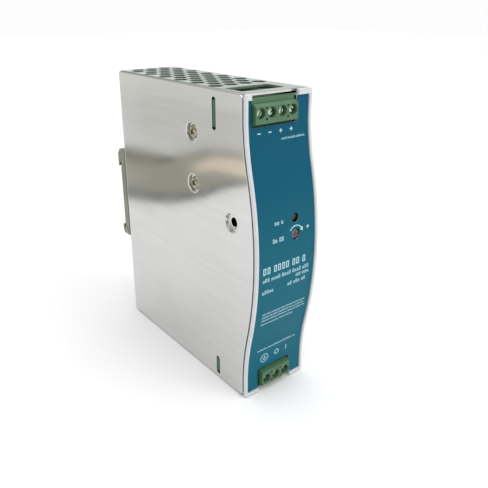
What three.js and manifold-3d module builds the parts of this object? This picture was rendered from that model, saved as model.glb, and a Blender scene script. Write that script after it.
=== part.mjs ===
// DIN rail power supply: a two-piece sheet-metal case, a moulded front bezel with a wavy face,
// rising-cage screw terminals, a rail clip with a sprung latch, and the electronics inside.
// Millimetres, +Z up, front face towards -Y, rail side towards +Y, left side at -X.
// The origin is the middle of the base of the whole object's box.

import * as THREE from "three";
import { mergeVertices } from "three/addons/utils/BufferGeometryUtils.js";
import Module from "manifold-3d";

const wasm = await Module();
wasm.setup();

// ---------------------------------------------------------------- driving dimensions

const WIDTH = 32;
const HEIGHT = 125.2;
const FRONT_Y = -54.5; // crest of the wavy front
const HOOK_Y = 54.5; // rearmost face of the rail hooks
const CASE_BACK_Y = 47.5;
const CREST = 6.5; // how far the wave stands out of the flat ends of the front
const CREST_HALF = 34; // half length of the convex stretch of the wave
const WAVE_HALF = 55; // half length of the whole wave
const WAVE_STEPS = 32;

const SHEET = 1;
const GAP = 0.3; // running and assembly clearance
const BEND = 2; // outer radius of the left cover's bend
const FOLD = 1.2; // outer radius of the right cover's bends
const BEZEL_EDGE = 1.65; // thickness of the bezel's face
const SEAM = 0.45; // gap between the bezel and the covers
const SKIRT_BACK_Y = -44;

const VENT_FLATS = 5.5;
const VENT_PITCH = 7;
const VENT_ROWS = 12;
const VENT_FIRST_Y = -23;

const POLE_PITCH = 5.08;
const OUTPUT_CENTRE = { x: -2.15, z: 118.2 };
const INPUT_CENTRE = { x: -0.2, z: 5.8 };
const CAGE_TRAVEL = 3.5;

const LED_AT = { x: 4.4, z: 77.3, radius: 1.8 };
const TRIMMER_AT = { x: 4.4, z: 70.6, radius: 2.15 };

const DIMPLE_DEPTH = 1.6;
const DIMPLES = [
  { y: -13.7, z: 106.8, hole: 1.7 },
  { y: -13.8, z: 85.5, hole: 1.7 },
  { y: -38.9, z: 75.7, hole: 1.85 },
];

const BOARD_FRONT_Y = -29.3;
const BOARD_THICK = 1.6;
const MAIN_BOARD_X = 9.4; // component side of the main board

const LEFT = -WIDTH / 2;
const RIGHT = WIDTH / 2;
const MIDDLE_Z = HEIGHT / 2;
const FLAT_FRONT_Y = FRONT_Y + CREST;

// ---------------------------------------------------------------- solid helpers

// Closed three.js geometry to a solid that can be joined and cut.
function solid(geometry) {
  const bare = geometry.clone();
  bare.deleteAttribute("normal");
  bare.deleteAttribute("uv");
  const merged = mergeVertices(bare, 1e-5);
  return new wasm.Manifold(new wasm.Mesh({
    numProp: 3,
    vertProperties: new Float32Array(merged.attributes.position.array),
    triVerts: new Uint32Array(merged.index.array),
  }));
}

function geometryOf(body) {
  const mesh = body.getMesh();
  const geometry = new THREE.BufferGeometry();
  geometry.setAttribute("position", new THREE.BufferAttribute(mesh.vertProperties, 3));
  geometry.setIndex(new THREE.BufferAttribute(mesh.triVerts, 1));
  geometry.computeVertexNormals();
  return geometry;
}

function joined(bodies) {
  return bodies.reduce((whole, body) => whole.add(body));
}

function box([x0, x1], [y0, y1], [z0, z1]) {
  const geometry = new THREE.BoxGeometry(x1 - x0, y1 - y0, z1 - z0);
  geometry.translate((x0 + x1) / 2, (y0 + y1) / 2, (z0 + z1) / 2);
  return solid(geometry);
}

// Round bar or cone along an axis. The centre is given in the two other coordinates, in order.
function cone(axis, centre, [radiusFrom, radiusTo], [from, to], sides = 20) {
  const geometry = new THREE.CylinderGeometry(radiusTo, radiusFrom, to - from, sides);
  if (axis === "x") geometry.rotateZ(-Math.PI / 2);
  if (axis === "z") geometry.rotateX(Math.PI / 2);
  const middle = (from + to) / 2;
  const places = {
    x: [middle, centre[0], centre[1]],
    y: [centre[0], middle, centre[1]],
    z: [centre[0], centre[1], middle],
  };
  geometry.translate(...places[axis]);
  return solid(geometry);
}

function rod(axis, centre, radius, span, sides = 20) {
  return cone(axis, centre, [radius, radius], span, sides);
}

const ACROSS = {
  x: new THREE.Matrix4().set(0, 0, 1, 0, 1, 0, 0, 0, 0, 1, 0, 0, 0, 0, 0, 1),
  y: new THREE.Matrix4().set(1, 0, 0, 0, 0, 0, -1, 0, 0, 1, 0, 0, 0, 0, 0, 1),
  z: new THREE.Matrix4(),
};

// Extrudes an outline along an axis. Its coordinates are (y, z) along x, (x, z) along y
// and (x, y) along z.
function prism(shape, axis, [from, to], arcSteps = 4) {
  const options = { depth: to - from, bevelEnabled: false, curveSegments: arcSteps };
  const geometry = new THREE.ExtrudeGeometry(shape, options);
  geometry.applyMatrix4(ACROSS[axis]);
  const start = new THREE.Vector3();
  start[axis] = axis === "y" ? to : from;
  geometry.translate(start.x, start.y, start.z);
  return solid(geometry);
}

function outline(points) {
  return new THREE.Shape(points.map(([u, v]) => new THREE.Vector2(u, v)));
}

function roundedRectangle([u0, u1], [v0, v1], radius) {
  const shape = new THREE.Shape();
  shape.moveTo(u0 + radius, v0);
  shape.lineTo(u1 - radius, v0);
  shape.absarc(u1 - radius, v0 + radius, radius, -Math.PI / 2, 0);
  shape.lineTo(u1, v1 - radius);
  shape.absarc(u1 - radius, v1 - radius, radius, 0, Math.PI / 2);
  shape.lineTo(u0 + radius, v1);
  shape.absarc(u0 + radius, v1 - radius, radius, Math.PI / 2, Math.PI);
  shape.lineTo(u0, v0 + radius);
  shape.absarc(u0 + radius, v0 + radius, radius, Math.PI, 1.5 * Math.PI);
  return shape;
}

// Points of an arc, both ends included, angles in quarter turns.
function arc([u, v], radius, quarterFrom, quarterTo, steps = 4) {
  const points = [];
  for (let i = 0; i <= steps; i += 1) {
    const angle = ((quarterFrom + ((quarterTo - quarterFrom) * i) / steps) * Math.PI) / 2;
    points.push([u + radius * Math.cos(angle), v + radius * Math.sin(angle)]);
  }
  return points;
}

// ---------------------------------------------------------------- object helpers

const supply = new THREE.Group();

function addMesh(parent, name, body, [colour, roughness, metalness]) {
  const material = new THREE.MeshStandardMaterial({ color: colour, roughness, metalness });
  const mesh = new THREE.Mesh(geometryOf(body), material);
  mesh.name = name;
  parent.add(mesh);
  return mesh;
}

const FINISH = {
  shell: [0xc8c8c6, 0.28, 0.9],
  bezel: [0xdde0e4, 0.45, 0],
  label: [0x24677f, 0.4, 0],
  terminalGreen: [0x5f9a62, 0.5, 0],
  plated: [0xc9ccc8, 0.3, 1],
  brass: [0xc8a45a, 0.35, 1],
  board: [0x2f6b3c, 0.55, 0],
  clip: [0xa09c8c, 0.45, 0.8],
  spring: [0x8f8f8c, 0.35, 1],
  lamp: [0x3e4a33, 0.2, 0],
  clear: [0xdfe6dc, 0.1, 0],
  trimmer: [0x2c4f8f, 0.5, 0],
  rotor: [0xb9a3a6, 0.45, 0],
  sheet: [0xe8e4cf, 0.5, 0],
  aluminium: [0xb9bcbe, 0.4, 0.9],
  epoxy: [0x1d1d1f, 0.5, 0],
  ferrite: [0x37383a, 0.65, 0],
  tape: [0xd9b64a, 0.4, 0],
  copper: [0xb0632f, 0.4, 0.7],
  sleeve: [0x23304a, 0.4, 0],
  film: [0xc9a227, 0.45, 0],
  ceramic: [0xe7e2d5, 0.4, 0],
  disc: [0x2e6f4a, 0.5, 0],
  guide: [0x2b2b2d, 0.6, 0],
};

// ---------------------------------------------------------------- the wavy front

// How far the front stands out of its flat ends at a height: a convex crest that runs out
// into two concave feet.
function bulge(z) {
  const d = Math.abs(z - MIDDLE_Z);
  if (d < CREST_HALF) return CREST * (1 - (d * d) / (CREST_HALF * WAVE_HALF));
  if (d < WAVE_HALF) return (CREST * (WAVE_HALF - d) ** 2) / (WAVE_HALF * (WAVE_HALF - CREST_HALF));
  return 0;
}

// The front line, set back by an inset, as (y, z) points from one height to another.
function frontLine(inset, zFrom = 0, zTo = HEIGHT) {
  const points = [];
  for (let i = 0; i <= WAVE_STEPS; i += 1) {
    const z = zFrom + ((zTo - zFrom) * i) / WAVE_STEPS;
    points.push([FLAT_FRONT_Y - bulge(z) + inset, z]);
  }
  return points;
}

// A band of the wavy front between two insets.
function frontBand(insetFrom, insetTo, xSpan, zFrom = 0, zTo = HEIGHT) {
  const back = frontLine(insetTo, zFrom, zTo).reverse();
  return prism(outline([...frontLine(insetFrom, zFrom, zTo), ...back]), "x", xSpan);
}

// Everything behind the front line set back by an inset.
function behindFront(inset) {
  const line = frontLine(inset, -4, HEIGHT + 4);
  return prism(outline([...line, [60, HEIGHT + 4], [60, -4]]), "x", [LEFT - 2, RIGHT + 2]);
}

// ---------------------------------------------------------------- case covers

const COVER_INSET = BEZEL_EDGE + SEAM;
const RIVETS_AT = [[-11, 62], [11, 62]];

// Left cover: the left wall and the back wall, folded from one sheet.
function leftCover() {
  const x0 = LEFT;
  const xEnd = RIGHT - SHEET - GAP;
  const section = outline([
    [x0, -60],
    [x0 + SHEET, -60],
    ...arc([x0 + BEND, CASE_BACK_Y - BEND], BEND - SHEET, 2, 1),
    [xEnd, CASE_BACK_Y - SHEET],
    [xEnd, CASE_BACK_Y],
    ...arc([x0 + BEND, CASE_BACK_Y - BEND], BEND, 1, 2),
  ]);
  const bottom = 0.6;
  const top = HEIGHT - 0.6;
  const corner = 1.5;
  const front = FLAT_FRONT_Y + COVER_INSET + corner;
  const side = outline([
    ...arc([front, bottom + corner], corner, 3, 2, 3),
    ...frontLine(COVER_INSET, bottom + corner, top - corner),
    ...arc([front, top - corner], corner, 2, 1, 3),
    ...arc([CASE_BACK_Y - 2.2, top - 2.2], 2.2, 1, 0, 4),
    [CASE_BACK_Y, 10],
    [CASE_BACK_Y - 0.8, 4.2],
    ...arc([CASE_BACK_Y - 3.6, bottom + 2.8], 2.8, 0, -1, 4),
  ]);
  let cover = prism(section, "z", [bottom, top]);
  cover = cover.intersect(prism(side, "x", [x0 - 1, RIGHT]));
  const inside = x0 + SHEET + 0.05;
  cover = cover.subtract(box([inside, RIGHT], [CASE_BACK_Y - 4, 50], [HEIGHT - SHEET - GAP, 130]));
  cover = cover.subtract(box([inside, RIGHT], [CASE_BACK_Y - 4, 50], [-1, 10]));
  for (const dimple of DIMPLES) {
    cover = cover.add(cone("x", [dimple.y, dimple.z], [4.6, 3.9], [x0 + 0.5, x0 + DIMPLE_DEPTH + 1], 24));
  }
  for (const dimple of DIMPLES) {
    const at = [dimple.y, dimple.z];
    cover = cover.subtract(cone("x", at, [4.2, 3.1], [x0 - 0.2, x0 + DIMPLE_DEPTH], 24));
    cover = cover.subtract(rod("x", at, dimple.hole, [x0, x0 + 4], 16));
  }
  const upperSlot = roundedRectangle([-30, -27.6], [109.9, 122.3], 1.1);
  const lowerSlot = roundedRectangle([-30, -27.6], [1.9, 10.6], 1.1);
  cover = cover.subtract(prism(upperSlot, "x", [x0 - 1, x0 + 2]));
  cover = cover.subtract(prism(lowerSlot, "x", [x0 - 1, x0 + 2]));
  for (const at of RIVETS_AT) {
    cover = cover.subtract(rod("y", at, 1.6, [44, 50], 14));
  }
  return cover;
}

// Hexagonal vents: rows of four and three holes by turns, standing on a corner.
function vents(zSpan) {
  const holes = [];
  const radius = VENT_FLATS / Math.sqrt(3);
  for (let row = 0; row < VENT_ROWS; row += 1) {
    const count = row % 2 === 0 ? 4 : 3;
    const y = VENT_FIRST_Y + (row * VENT_PITCH * Math.sqrt(3)) / 2;
    for (let i = 0; i < count; i += 1) {
      const x = (i - (count - 1) / 2) * VENT_PITCH;
      const corners = [];
      for (let k = 0; k < 6; k += 1) {
        const angle = Math.PI / 2 + (k * Math.PI) / 3;
        corners.push([x + radius * Math.cos(angle), y + radius * Math.sin(angle)]);
      }
      holes.push(prism(outline(corners), "z", zSpan));
    }
  }
  return joined(holes);
}

// Right cover: right wall, perforated top and bottom, and narrow flanges behind the left wall.
function rightCover() {
  const xFlange = LEFT + SHEET + GAP;
  const flange = 7.5;
  const inner = FOLD - SHEET;
  const section = outline([
    [xFlange, HEIGHT - FOLD - flange],
    ...arc([xFlange + FOLD, HEIGHT - FOLD], FOLD, 2, 1, 3),
    ...arc([RIGHT - FOLD, HEIGHT - FOLD], FOLD, 1, 0, 3),
    ...arc([RIGHT - FOLD, FOLD], FOLD, 0, -1, 3),
    ...arc([xFlange + FOLD, FOLD], FOLD, -1, -2, 3),
    [xFlange, FOLD + flange],
    [xFlange + SHEET, FOLD + flange],
    ...arc([xFlange + FOLD, FOLD], inner, -2, -1, 2),
    ...arc([RIGHT - FOLD, FOLD], inner, -1, 0, 2),
    ...arc([RIGHT - FOLD, HEIGHT - FOLD], inner, 0, 1, 2),
    ...arc([xFlange + FOLD, HEIGHT - FOLD], inner, 1, 2, 2),
    [xFlange + SHEET, HEIGHT - FOLD - flange],
  ]);
  let cover = prism(section, "y", [-60, CASE_BACK_Y]);
  cover = cover.intersect(behindFront(COVER_INSET));
  const flangeX = [xFlange - 1, xFlange + SHEET + 0.1];
  for (const zSpan of [[FOLD + 0.1, 20], [100, HEIGHT - FOLD - 0.1]]) {
    cover = cover.subtract(box(flangeX, [-60, -25], zSpan));
    cover = cover.subtract(box(flangeX, [43, 50], zSpan));
  }
  cover = cover.add(box([-13, RIGHT - 0.5], [45.2, 46.2], [0.4, 14]));
  cover = cover.subtract(vents([HEIGHT - 2, HEIGHT + 1]));
  cover = cover.subtract(vents([-1, 2]));
  cover = cover.subtract(prism(roundedRectangle([-12, 8.5], [-41, -30.4], 0.8), "z", [HEIGHT - 2, HEIGHT + 1]));
  cover = cover.subtract(prism(roundedRectangle([-9, 8.6], [-41, -31], 0.8), "z", [-1, 2]));
  return cover;
}

// ---------------------------------------------------------------- bezel and label

const LABEL_RECESS = 0.95; // how far the label's seat lies behind the rim
const FILM = 0.2;
const SEAT_HALF = 14.5;
const TOP_NOTCH = { x: [-13, 9], z: [113.7, HEIGHT + 2] };
const BOTTOM_NOTCH = { x: [-9, 8.7], z: [-2, 11] };

function frontBezel() {
  const whole = [0, HEIGHT];
  let face = frontBand(0, BEZEL_EDGE, [LEFT, RIGHT]);
  face = face.intersect(prism(roundedRectangle([LEFT, RIGHT], whole, 1.5), "y", [-60, -40]));
  const clear = SHEET + GAP;
  const skirtX = [LEFT + clear, RIGHT - clear];
  const skirtZ = [clear, HEIGHT - clear];
  const wall = 1.2;
  let skirt = prism(roundedRectangle(skirtX, skirtZ, 1), "y", [-60, SKIRT_BACK_Y]);
  const hollowX = [skirtX[0] + wall, skirtX[1] - wall];
  const hollowZ = [skirtZ[0] + wall, skirtZ[1] - wall];
  skirt = skirt.subtract(box(hollowX, [-61, -40], hollowZ));
  skirt = skirt.intersect(behindFront(BEZEL_EDGE - 0.4));
  let bezel = face.add(skirt);
  bezel = bezel.subtract(frontBand(-1, LABEL_RECESS, [-SEAT_HALF, SEAT_HALF], 1.9, HEIGHT - 2.3));
  bezel = bezel.subtract(box(TOP_NOTCH.x, [-60, -40], TOP_NOTCH.z));
  bezel = bezel.subtract(box(BOTTOM_NOTCH.x, [-60, -40], BOTTOM_NOTCH.z));
  for (const hole of [LED_AT, TRIMMER_AT]) {
    bezel = bezel.subtract(rod("y", [hole.x, hole.z], hole.radius, [-60, -45], 24));
  }
  return bezel;
}

function frontLabel() {
  const back = LABEL_RECESS - 0.05;
  const xSpan = [0.1 - SEAT_HALF, SEAT_HALF - 0.1];
  let label = frontBand(back - FILM, back, xSpan, 2, HEIGHT - 2.4);
  label = label.subtract(box(TOP_NOTCH.x, [-60, -40], TOP_NOTCH.z));
  label = label.subtract(box(BOTTOM_NOTCH.x, [-60, -40], BOTTOM_NOTCH.z));
  for (const hole of [LED_AT, TRIMMER_AT]) {
    label = label.subtract(rod("y", [hole.x, hole.z], hole.radius, [-60, -45], 24));
  }
  return label;
}

// ---------------------------------------------------------------- terminal blocks

// A block's own frame has x = 0 in its middle, z = 0 on the screws' axes and the wires
// coming in from +z. y is the whole object's.
const BLOCK_FRONT_Y = -49;
const BLOCK_BACK_Y = BOARD_FRONT_Y - GAP;
const CAGE = { halfX: 2, halfZ: 2.3, front: -41.2, back: -31.9 };
const CAGE_WALL = { side: 0.55, front: 1.2, back: 0.9 };
const CONTACT_Y = [-38.6, -37.8];
const OUTPUT_ROW = { count: 4, keyHoles: [-POLE_PITCH, POLE_PITCH], wireSide: 4.5 };
const INPUT_ROW = { count: 3, keyHoles: [-POLE_PITCH / 2, POLE_PITCH / 2], wireSide: 3.7 };
const SCREW_HEAD = { radius: 1.8, front: -48, back: -46.6 };
const SCREW_SHANK = { radius: 1.25, end: CONTACT_Y[0] - GAP };

function polePositions(count) {
  return Array.from({ length: count }, (_, i) => (i - (count - 1) / 2) * POLE_PITCH);
}

// wireSide is how far the block reaches from the screws' axes towards the wires.
function terminalBlock({ count, keyHoles, wireSide }) {
  const half = (count * POLE_PITCH) / 2;
  const profile = outline([
    [BLOCK_FRONT_Y, -3.8],
    [BLOCK_FRONT_Y, 2.4],
    [-46.6, 3.6],
    [-46.6, wireSide],
    [BLOCK_BACK_Y, wireSide],
    [BLOCK_BACK_Y, -5.3],
    [-45.9, -5.3],
    [-46.3, -4.4],
  ]);
  let block = prism(profile, "x", [-half, half]);
  for (const x of polePositions(count)) {
    block = block.subtract(rod("y", [x, 0], SCREW_HEAD.radius + 0.15, [-50, SCREW_HEAD.back + 0.2]));
    block = block.subtract(rod("y", [x, 0], SCREW_SHANK.radius + 0.2, [-47, -44], 14));
    const chamberX = [x - CAGE.halfX - 0.15, x + CAGE.halfX + 0.15];
    const chamberY = [CAGE.front - CAGE_TRAVEL - GAP, CAGE.back + GAP];
    block = block.subtract(box(chamberX, chamberY, [-3.7, wireSide - 0.9]));
    block = block.subtract(box([x - 1.9, x + 1.9], [-37.7, -32.8], [wireSide - 1, 6]));
    block = block.subtract(box([x - 0.8, x + 0.8], [-32, -29], [-3.7, -2.5]));
  }
  for (const x of keyHoles) {
    for (const z of [-2.2, 1.7]) {
      block = block.subtract(rod("y", [x, z], 0.45, [-50, BLOCK_FRONT_Y + 1], 8));
    }
  }
  return block;
}

function clampCage() {
  const { halfX, halfZ, front, back } = CAGE;
  const innerX = halfX - CAGE_WALL.side;
  let cage = box([-halfX, halfX], [front, back], [-halfZ, halfZ]);
  cage = cage.subtract(
    box([-innerX, innerX], [front + CAGE_WALL.front, back - CAGE_WALL.back], [-halfZ - 1, halfZ + 1]),
  );
  return cage.subtract(rod("y", [0, 0], SCREW_SHANK.radius + 0.2, [front - 1, front + 2], 12));
}

function terminalScrew() {
  const { radius, front, back } = SCREW_HEAD;
  const head = cone("y", [0, 0], [radius - 0.2, radius], [front, front + 0.2], 16);
  let screw = head.add(rod("y", [0, 0], radius, [front + 0.2, back], 16));
  screw = screw.subtract(box([-3, 3], [front - 1, front + 0.8], [-0.35, 0.35]));
  const shank = cone("y", [0, 0], [SCREW_SHANK.radius, 0.9], [back - 0.1, SCREW_SHANK.end], 12);
  return screw.add(shank);
}

// A flat contact bar behind the screw's end, with a solder leg through the front board.
function contactBar() {
  const bar = box([-1.15, 1.15], CONTACT_Y, [-3.4, 2.6]);
  return bar.add(box([-0.5, 0.5], [CONTACT_Y[0], -27], [-3.4, -2.7]));
}

function addTerminals(prefix, centre, turn, row, slotAngles) {
  const group = new THREE.Group();
  group.position.set(centre.x, 0, centre.z);
  group.rotation.y = turn;
  supply.add(group);
  addMesh(group, `${prefix}_terminal_block`, terminalBlock(row), FINISH.terminalGreen);
  polePositions(row.count).forEach((x, i) => {
    const pole = new THREE.Group();
    pole.position.x = x;
    group.add(pole);
    addMesh(pole, `${prefix}_clamp_cage_${i + 1}`, clampCage(), FINISH.plated);
    addMesh(pole, `${prefix}_contact_bar_${i + 1}`, contactBar(), FINISH.brass);
    const screw = addMesh(pole, `${prefix}_terminal_screw_${i + 1}`, terminalScrew(), FINISH.plated);
    screw.rotation.y = -THREE.MathUtils.degToRad(slotAngles[i]);
  });
}

// ---------------------------------------------------------------- boards and indicators

function mainBoard() {
  const y = [BOARD_FRONT_Y + BOARD_THICK + GAP, 44];
  return box([MAIN_BOARD_X, MAIN_BOARD_X + BOARD_THICK], y, [3, 122]);
}

// Front board: carries both terminal blocks and stands in two slots of the left wall.
function frontBoard() {
  const y = [BOARD_FRONT_Y, BOARD_FRONT_Y + BOARD_THICK];
  let board = box([-13.2, 13.2], y, [2.4, 122]);
  board = board.add(box([-15.7, -13], y, [111, 121.2]));
  board = board.add(box([-15.7, -13], y, [3, 9.5]));
  const legZ = -3.05;
  const sides = [
    { count: 4, centre: OUTPUT_CENTRE, flip: 1 },
    { count: 3, centre: INPUT_CENTRE, flip: -1 },
  ];
  for (const { count, centre, flip } of sides) {
    for (const pole of polePositions(count)) {
      const x = centre.x + flip * pole;
      const z = centre.z + flip * legZ;
      board = board.subtract(box([x - 0.8, x + 0.8], [-31, -27], [z - 0.65, z + 0.65]));
    }
  }
  return board;
}

function addIndicators() {
  const led = [LED_AT.x, LED_AT.z];
  const ledBack = BOARD_FRONT_Y - GAP;
  const lamp = rod("y", led, 1.9, [ledBack - 1, ledBack], 16).add(rod("y", led, 1.5, [-33.5, ledBack], 16));
  addMesh(supply, "status_led", lamp, FINISH.lamp);
  addMesh(supply, "led_light_pipe", rod("y", led, 1.55, [-52.2, -33.8], 16), FINISH.clear);

  const { x, z } = TRIMMER_AT;
  addMesh(supply, "trimmer_riser", box([x - 3, x + 3], [-46.4, ledBack], [z - 2.8, z + 2.8]), FINISH.guide);
  let body = box([x - 3.3, x + 3.3], [-51.4, -46.7], [z - 3.3, z + 3.3]);
  body = body.subtract(rod("y", [x, z], 1.3, [-53, -49.2], 16));
  addMesh(supply, "voltage_trimmer_body", body, FINISH.trimmer);
  let rotor = rod("y", [x, z], 1.9, [-52.9, -51.6], 20);
  rotor = rotor.add(rod("y", [x, z], 1.05, [-51.7, -49.5], 12));
  rotor = rotor.subtract(box([x - 1.3, x + 1.3], [-54, -52.3], [z - 0.3, z + 0.3]));
  rotor = rotor.subtract(box([x - 0.3, x + 0.3], [-54, -52.3], [z - 1.3, z + 1.3]));
  addMesh(supply, "voltage_trimmer_rotor", rotor, FINISH.rotor);
}

// ---------------------------------------------------------------- power parts

// Angle heatsink screwed to the left wall, with its power device on the inner leg.
function addHeatsink(prefix, device, dimple) {
  const plateX = [LEFT + DIMPLE_DEPTH + SHEET + GAP, LEFT + DIMPLE_DEPTH + SHEET + GAP + 1.5];
  const zSpan = [dimple.z - 6.5, dimple.z + 6.5];
  const boardFace = MAIN_BOARD_X - GAP;
  let sink = box(plateX, [-24, -4], zSpan);
  sink = sink.add(box([plateX[0], boardFace], [-5.5, -4], zSpan));
  sink = sink.subtract(rod("x", [dimple.y, dimple.z], 1.7, [-20, -8], 12));
  addMesh(supply, `${prefix}_heatsink`, sink, FINISH.aluminium);

  let package3 = box([-8, 7.5], [-10.3, -5.8], [dimple.z - 5.1, dimple.z + 5.1]);
  for (const offset of [-2.54, 0, 2.54]) {
    const pinZ = [dimple.z + offset - 0.4, dimple.z + offset + 0.4];
    package3 = package3.add(box([7, boardFace], [-8.4, -7.8], pinZ));
  }
  addMesh(supply, device, package3, FINISH.epoxy);

  const headX = [LEFT + 0.1, LEFT + DIMPLE_DEPTH - 0.2];
  const at = [dimple.y, dimple.z];
  let screw = cone("x", at, [2.3, 2.75], [headX[0], headX[0] + 0.5], 18);
  screw = screw.add(rod("x", at, 2.75, [headX[0] + 0.5, headX[1]], 18));
  for (const turn of [0, 90]) {
    const slot = box([-0.9, 0.9], [-1.7, 1.7], [-0.3, 0.3]);
    screw = screw.subtract(slot.rotate([turn + 25, 0, 0]).translate([headX[0], dimple.y, dimple.z]));
  }
  screw = screw.add(rod("x", at, 1.4, [headX[1] - 0.1, -11], 12));
  addMesh(supply, `${prefix}_heatsink_screw`, screw, FINISH.plated);
}

function addTransformer() {
  const centre = { x: -1, y: 18, z: 74 };
  const shape = roundedRectangle([centre.x - 10, centre.x + 10], [centre.z - 16, centre.z + 16], 0.5);
  let core = prism(shape, "y", [centre.y - 6, centre.y + 6], 1);
  const windowX = [centre.x - 6, centre.x + 6];
  for (const side of [-1, 1]) {
    const windowZ = [centre.z + side * 8 - 4, centre.z + side * 8 + 4];
    core = core.subtract(box(windowX, [centre.y - 9, centre.y + 9], windowZ));
  }
  addMesh(supply, "transformer_core", core, FINISH.ferrite);

  const coil = roundedRectangle([centre.y - 11.5, centre.y + 11.5], [centre.z - 11.6, centre.z + 11.6], 4);
  let winding = prism(coil, "x", [centre.x - 5.7, centre.x + 5.7], 3);
  const legZ = [centre.z - 4.3, centre.z + 4.3];
  winding = winding.subtract(box([-20, 20], [centre.y - 6.3, centre.y + 6.3], legZ));
  addMesh(supply, "transformer_winding", winding, FINISH.tape);
}

function toroid(y, z, ringRadius, tube, baseRadius) {
  const geometry = new THREE.TorusGeometry(ringRadius, tube, 8, 16);
  geometry.rotateY(Math.PI / 2);
  geometry.translate(MAIN_BOARD_X - GAP - tube - 1.5, y, z);
  const base = rod("x", [y, z], baseRadius, [MAIN_BOARD_X - GAP - 2.5, MAIN_BOARD_X - GAP], 14);
  return solid(geometry).add(base);
}

function addCapacitors() {
  const boardFace = MAIN_BOARD_X - GAP;
  const bulk = rod("y", [-0.4, 42], 9, [3, 36], 22);
  addMesh(supply, "bulk_capacitor", bulk, FINISH.sleeve);
  [10, 21.5].forEach((y, i) => {
    const can = rod("x", [y, 104], 5, [-11, boardFace], 18);
    addMesh(supply, `output_capacitor_${i + 1}`, can, FINISH.sleeve);
  });
  addMesh(supply, "suppression_capacitor", box([-5, boardFace], [-15, -6], [12, 30]), FINISH.film);
}

function addSmallParts() {
  const boardFace = MAIN_BOARD_X - GAP;
  addMesh(supply, "common_mode_choke", toroid(22, 18, 7.5, 3.2, 8.5), FINISH.copper);
  addMesh(supply, "output_inductor", toroid(35, 104, 5, 2.4, 6), FINISH.copper);
  addMesh(supply, "bridge_rectifier", box([-6, boardFace], [0, 4], [10, 30]), FINISH.epoxy);
  addMesh(supply, "input_fuse", rod("z", [5.5, -21], 2.6, [12, 33], 14), FINISH.ceramic);
  addMesh(supply, "inrush_thermistor", rod("y", [3.8, 46], 5, [-13, -9], 16), FINISH.disc);
  addMesh(supply, "controller_chip", box([6, boardFace], [-20, -13.5], [58, 67.5]), FINISH.epoxy);
  const sheet = box([13.2, 13.6], [-26, 44], [3, 122]);
  addMesh(supply, "insulation_sheet", sheet, FINISH.sheet);
  const boardX = [MAIN_BOARD_X - GAP, MAIN_BOARD_X + BOARD_THICK + GAP];
  let guide = box([boardX[0] - 1.6, boardX[1] + 1.4], [41.5, 46.2], [20, 112]);
  guide = guide.subtract(box(boardX, [41, 44.3], [19, 113]));
  guide = guide.subtract(box([5, 15], [45.2, 47], [58, 66]));
  addMesh(supply, "board_edge_guide", guide, FINISH.guide);
}

// ---------------------------------------------------------------- rail clip

const PLATE_Y = [47.8, 49]; // bracket's base plate
const SEAT_Y = 52; // face that the rail's flanges rest on
const SEAT_Z = [47.1, 77.9]; // the seat ends clear of both hook lips
const SEAT_RELIEF = 0.2; // step back from the seat beside each lip
const LIP_FRONT_Y = 53.3; // front face of both hook lips
const RAIL_TOP_Z = 80.3;
const RAIL_BOTTOM_Z = 45.1;
const CLIP_HALF_X = 15.5;
const CLIP_Z = [42, 87];
const LATCH_Y = [49.3, 50.8];
const LATCH_HALF_X = 8.5;
const LATCH_TRAVEL = 3.5;
const LUG_Z = [50.3, 51.5]; // lug that the latch spring stands on
const GUIDE_Z = 68.5;
const SPRING = { y: 50.4, ring: 1, wire: 0.22, from: 51.75, to: 63, turns: 6 };

function railBracket() {
  const across = [-CLIP_HALF_X, CLIP_HALF_X];
  const profile = outline([
    [PLATE_Y[0], RAIL_BOTTOM_Z + GAP],
    [SEAT_Y - SEAT_RELIEF, RAIL_BOTTOM_Z + GAP],
    [SEAT_Y - SEAT_RELIEF, SEAT_Z[0]],
    [SEAT_Y, SEAT_Z[0]],
    [SEAT_Y, SEAT_Z[1]],
    [SEAT_Y - SEAT_RELIEF, SEAT_Z[1]],
    [SEAT_Y - SEAT_RELIEF, RAIL_TOP_Z],
    [LIP_FRONT_Y, RAIL_TOP_Z],
    [LIP_FRONT_Y, RAIL_TOP_Z - 2],
    [HOOK_Y, RAIL_TOP_Z - 2.3],
    [HOOK_Y, CLIP_Z[1] - 2.6],
    [HOOK_Y - 2, CLIP_Z[1]],
    [PLATE_Y[0], CLIP_Z[1]],
  ]);
  let bracket = prism(profile, "x", across);
  const channelX = [-CLIP_HALF_X + 2, CLIP_HALF_X - 2];
  bracket = bracket.subtract(box(channelX, [PLATE_Y[1], 60], [40, 77.2]));
  bracket = bracket.add(box(across, PLATE_Y, [CLIP_Z[0], 60]));
  bracket = bracket.add(box([-1.8, 1.8], [PLATE_Y[1] - 0.5, 51.4], LUG_Z));
  for (const at of RIVETS_AT) {
    bracket = bracket.subtract(rod("y", at, 1.6, [47, 49.5], 14));
  }
  return bracket.subtract(rod("y", [0, GUIDE_Z], 1.6, [47, 49.5], 14));
}

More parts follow.
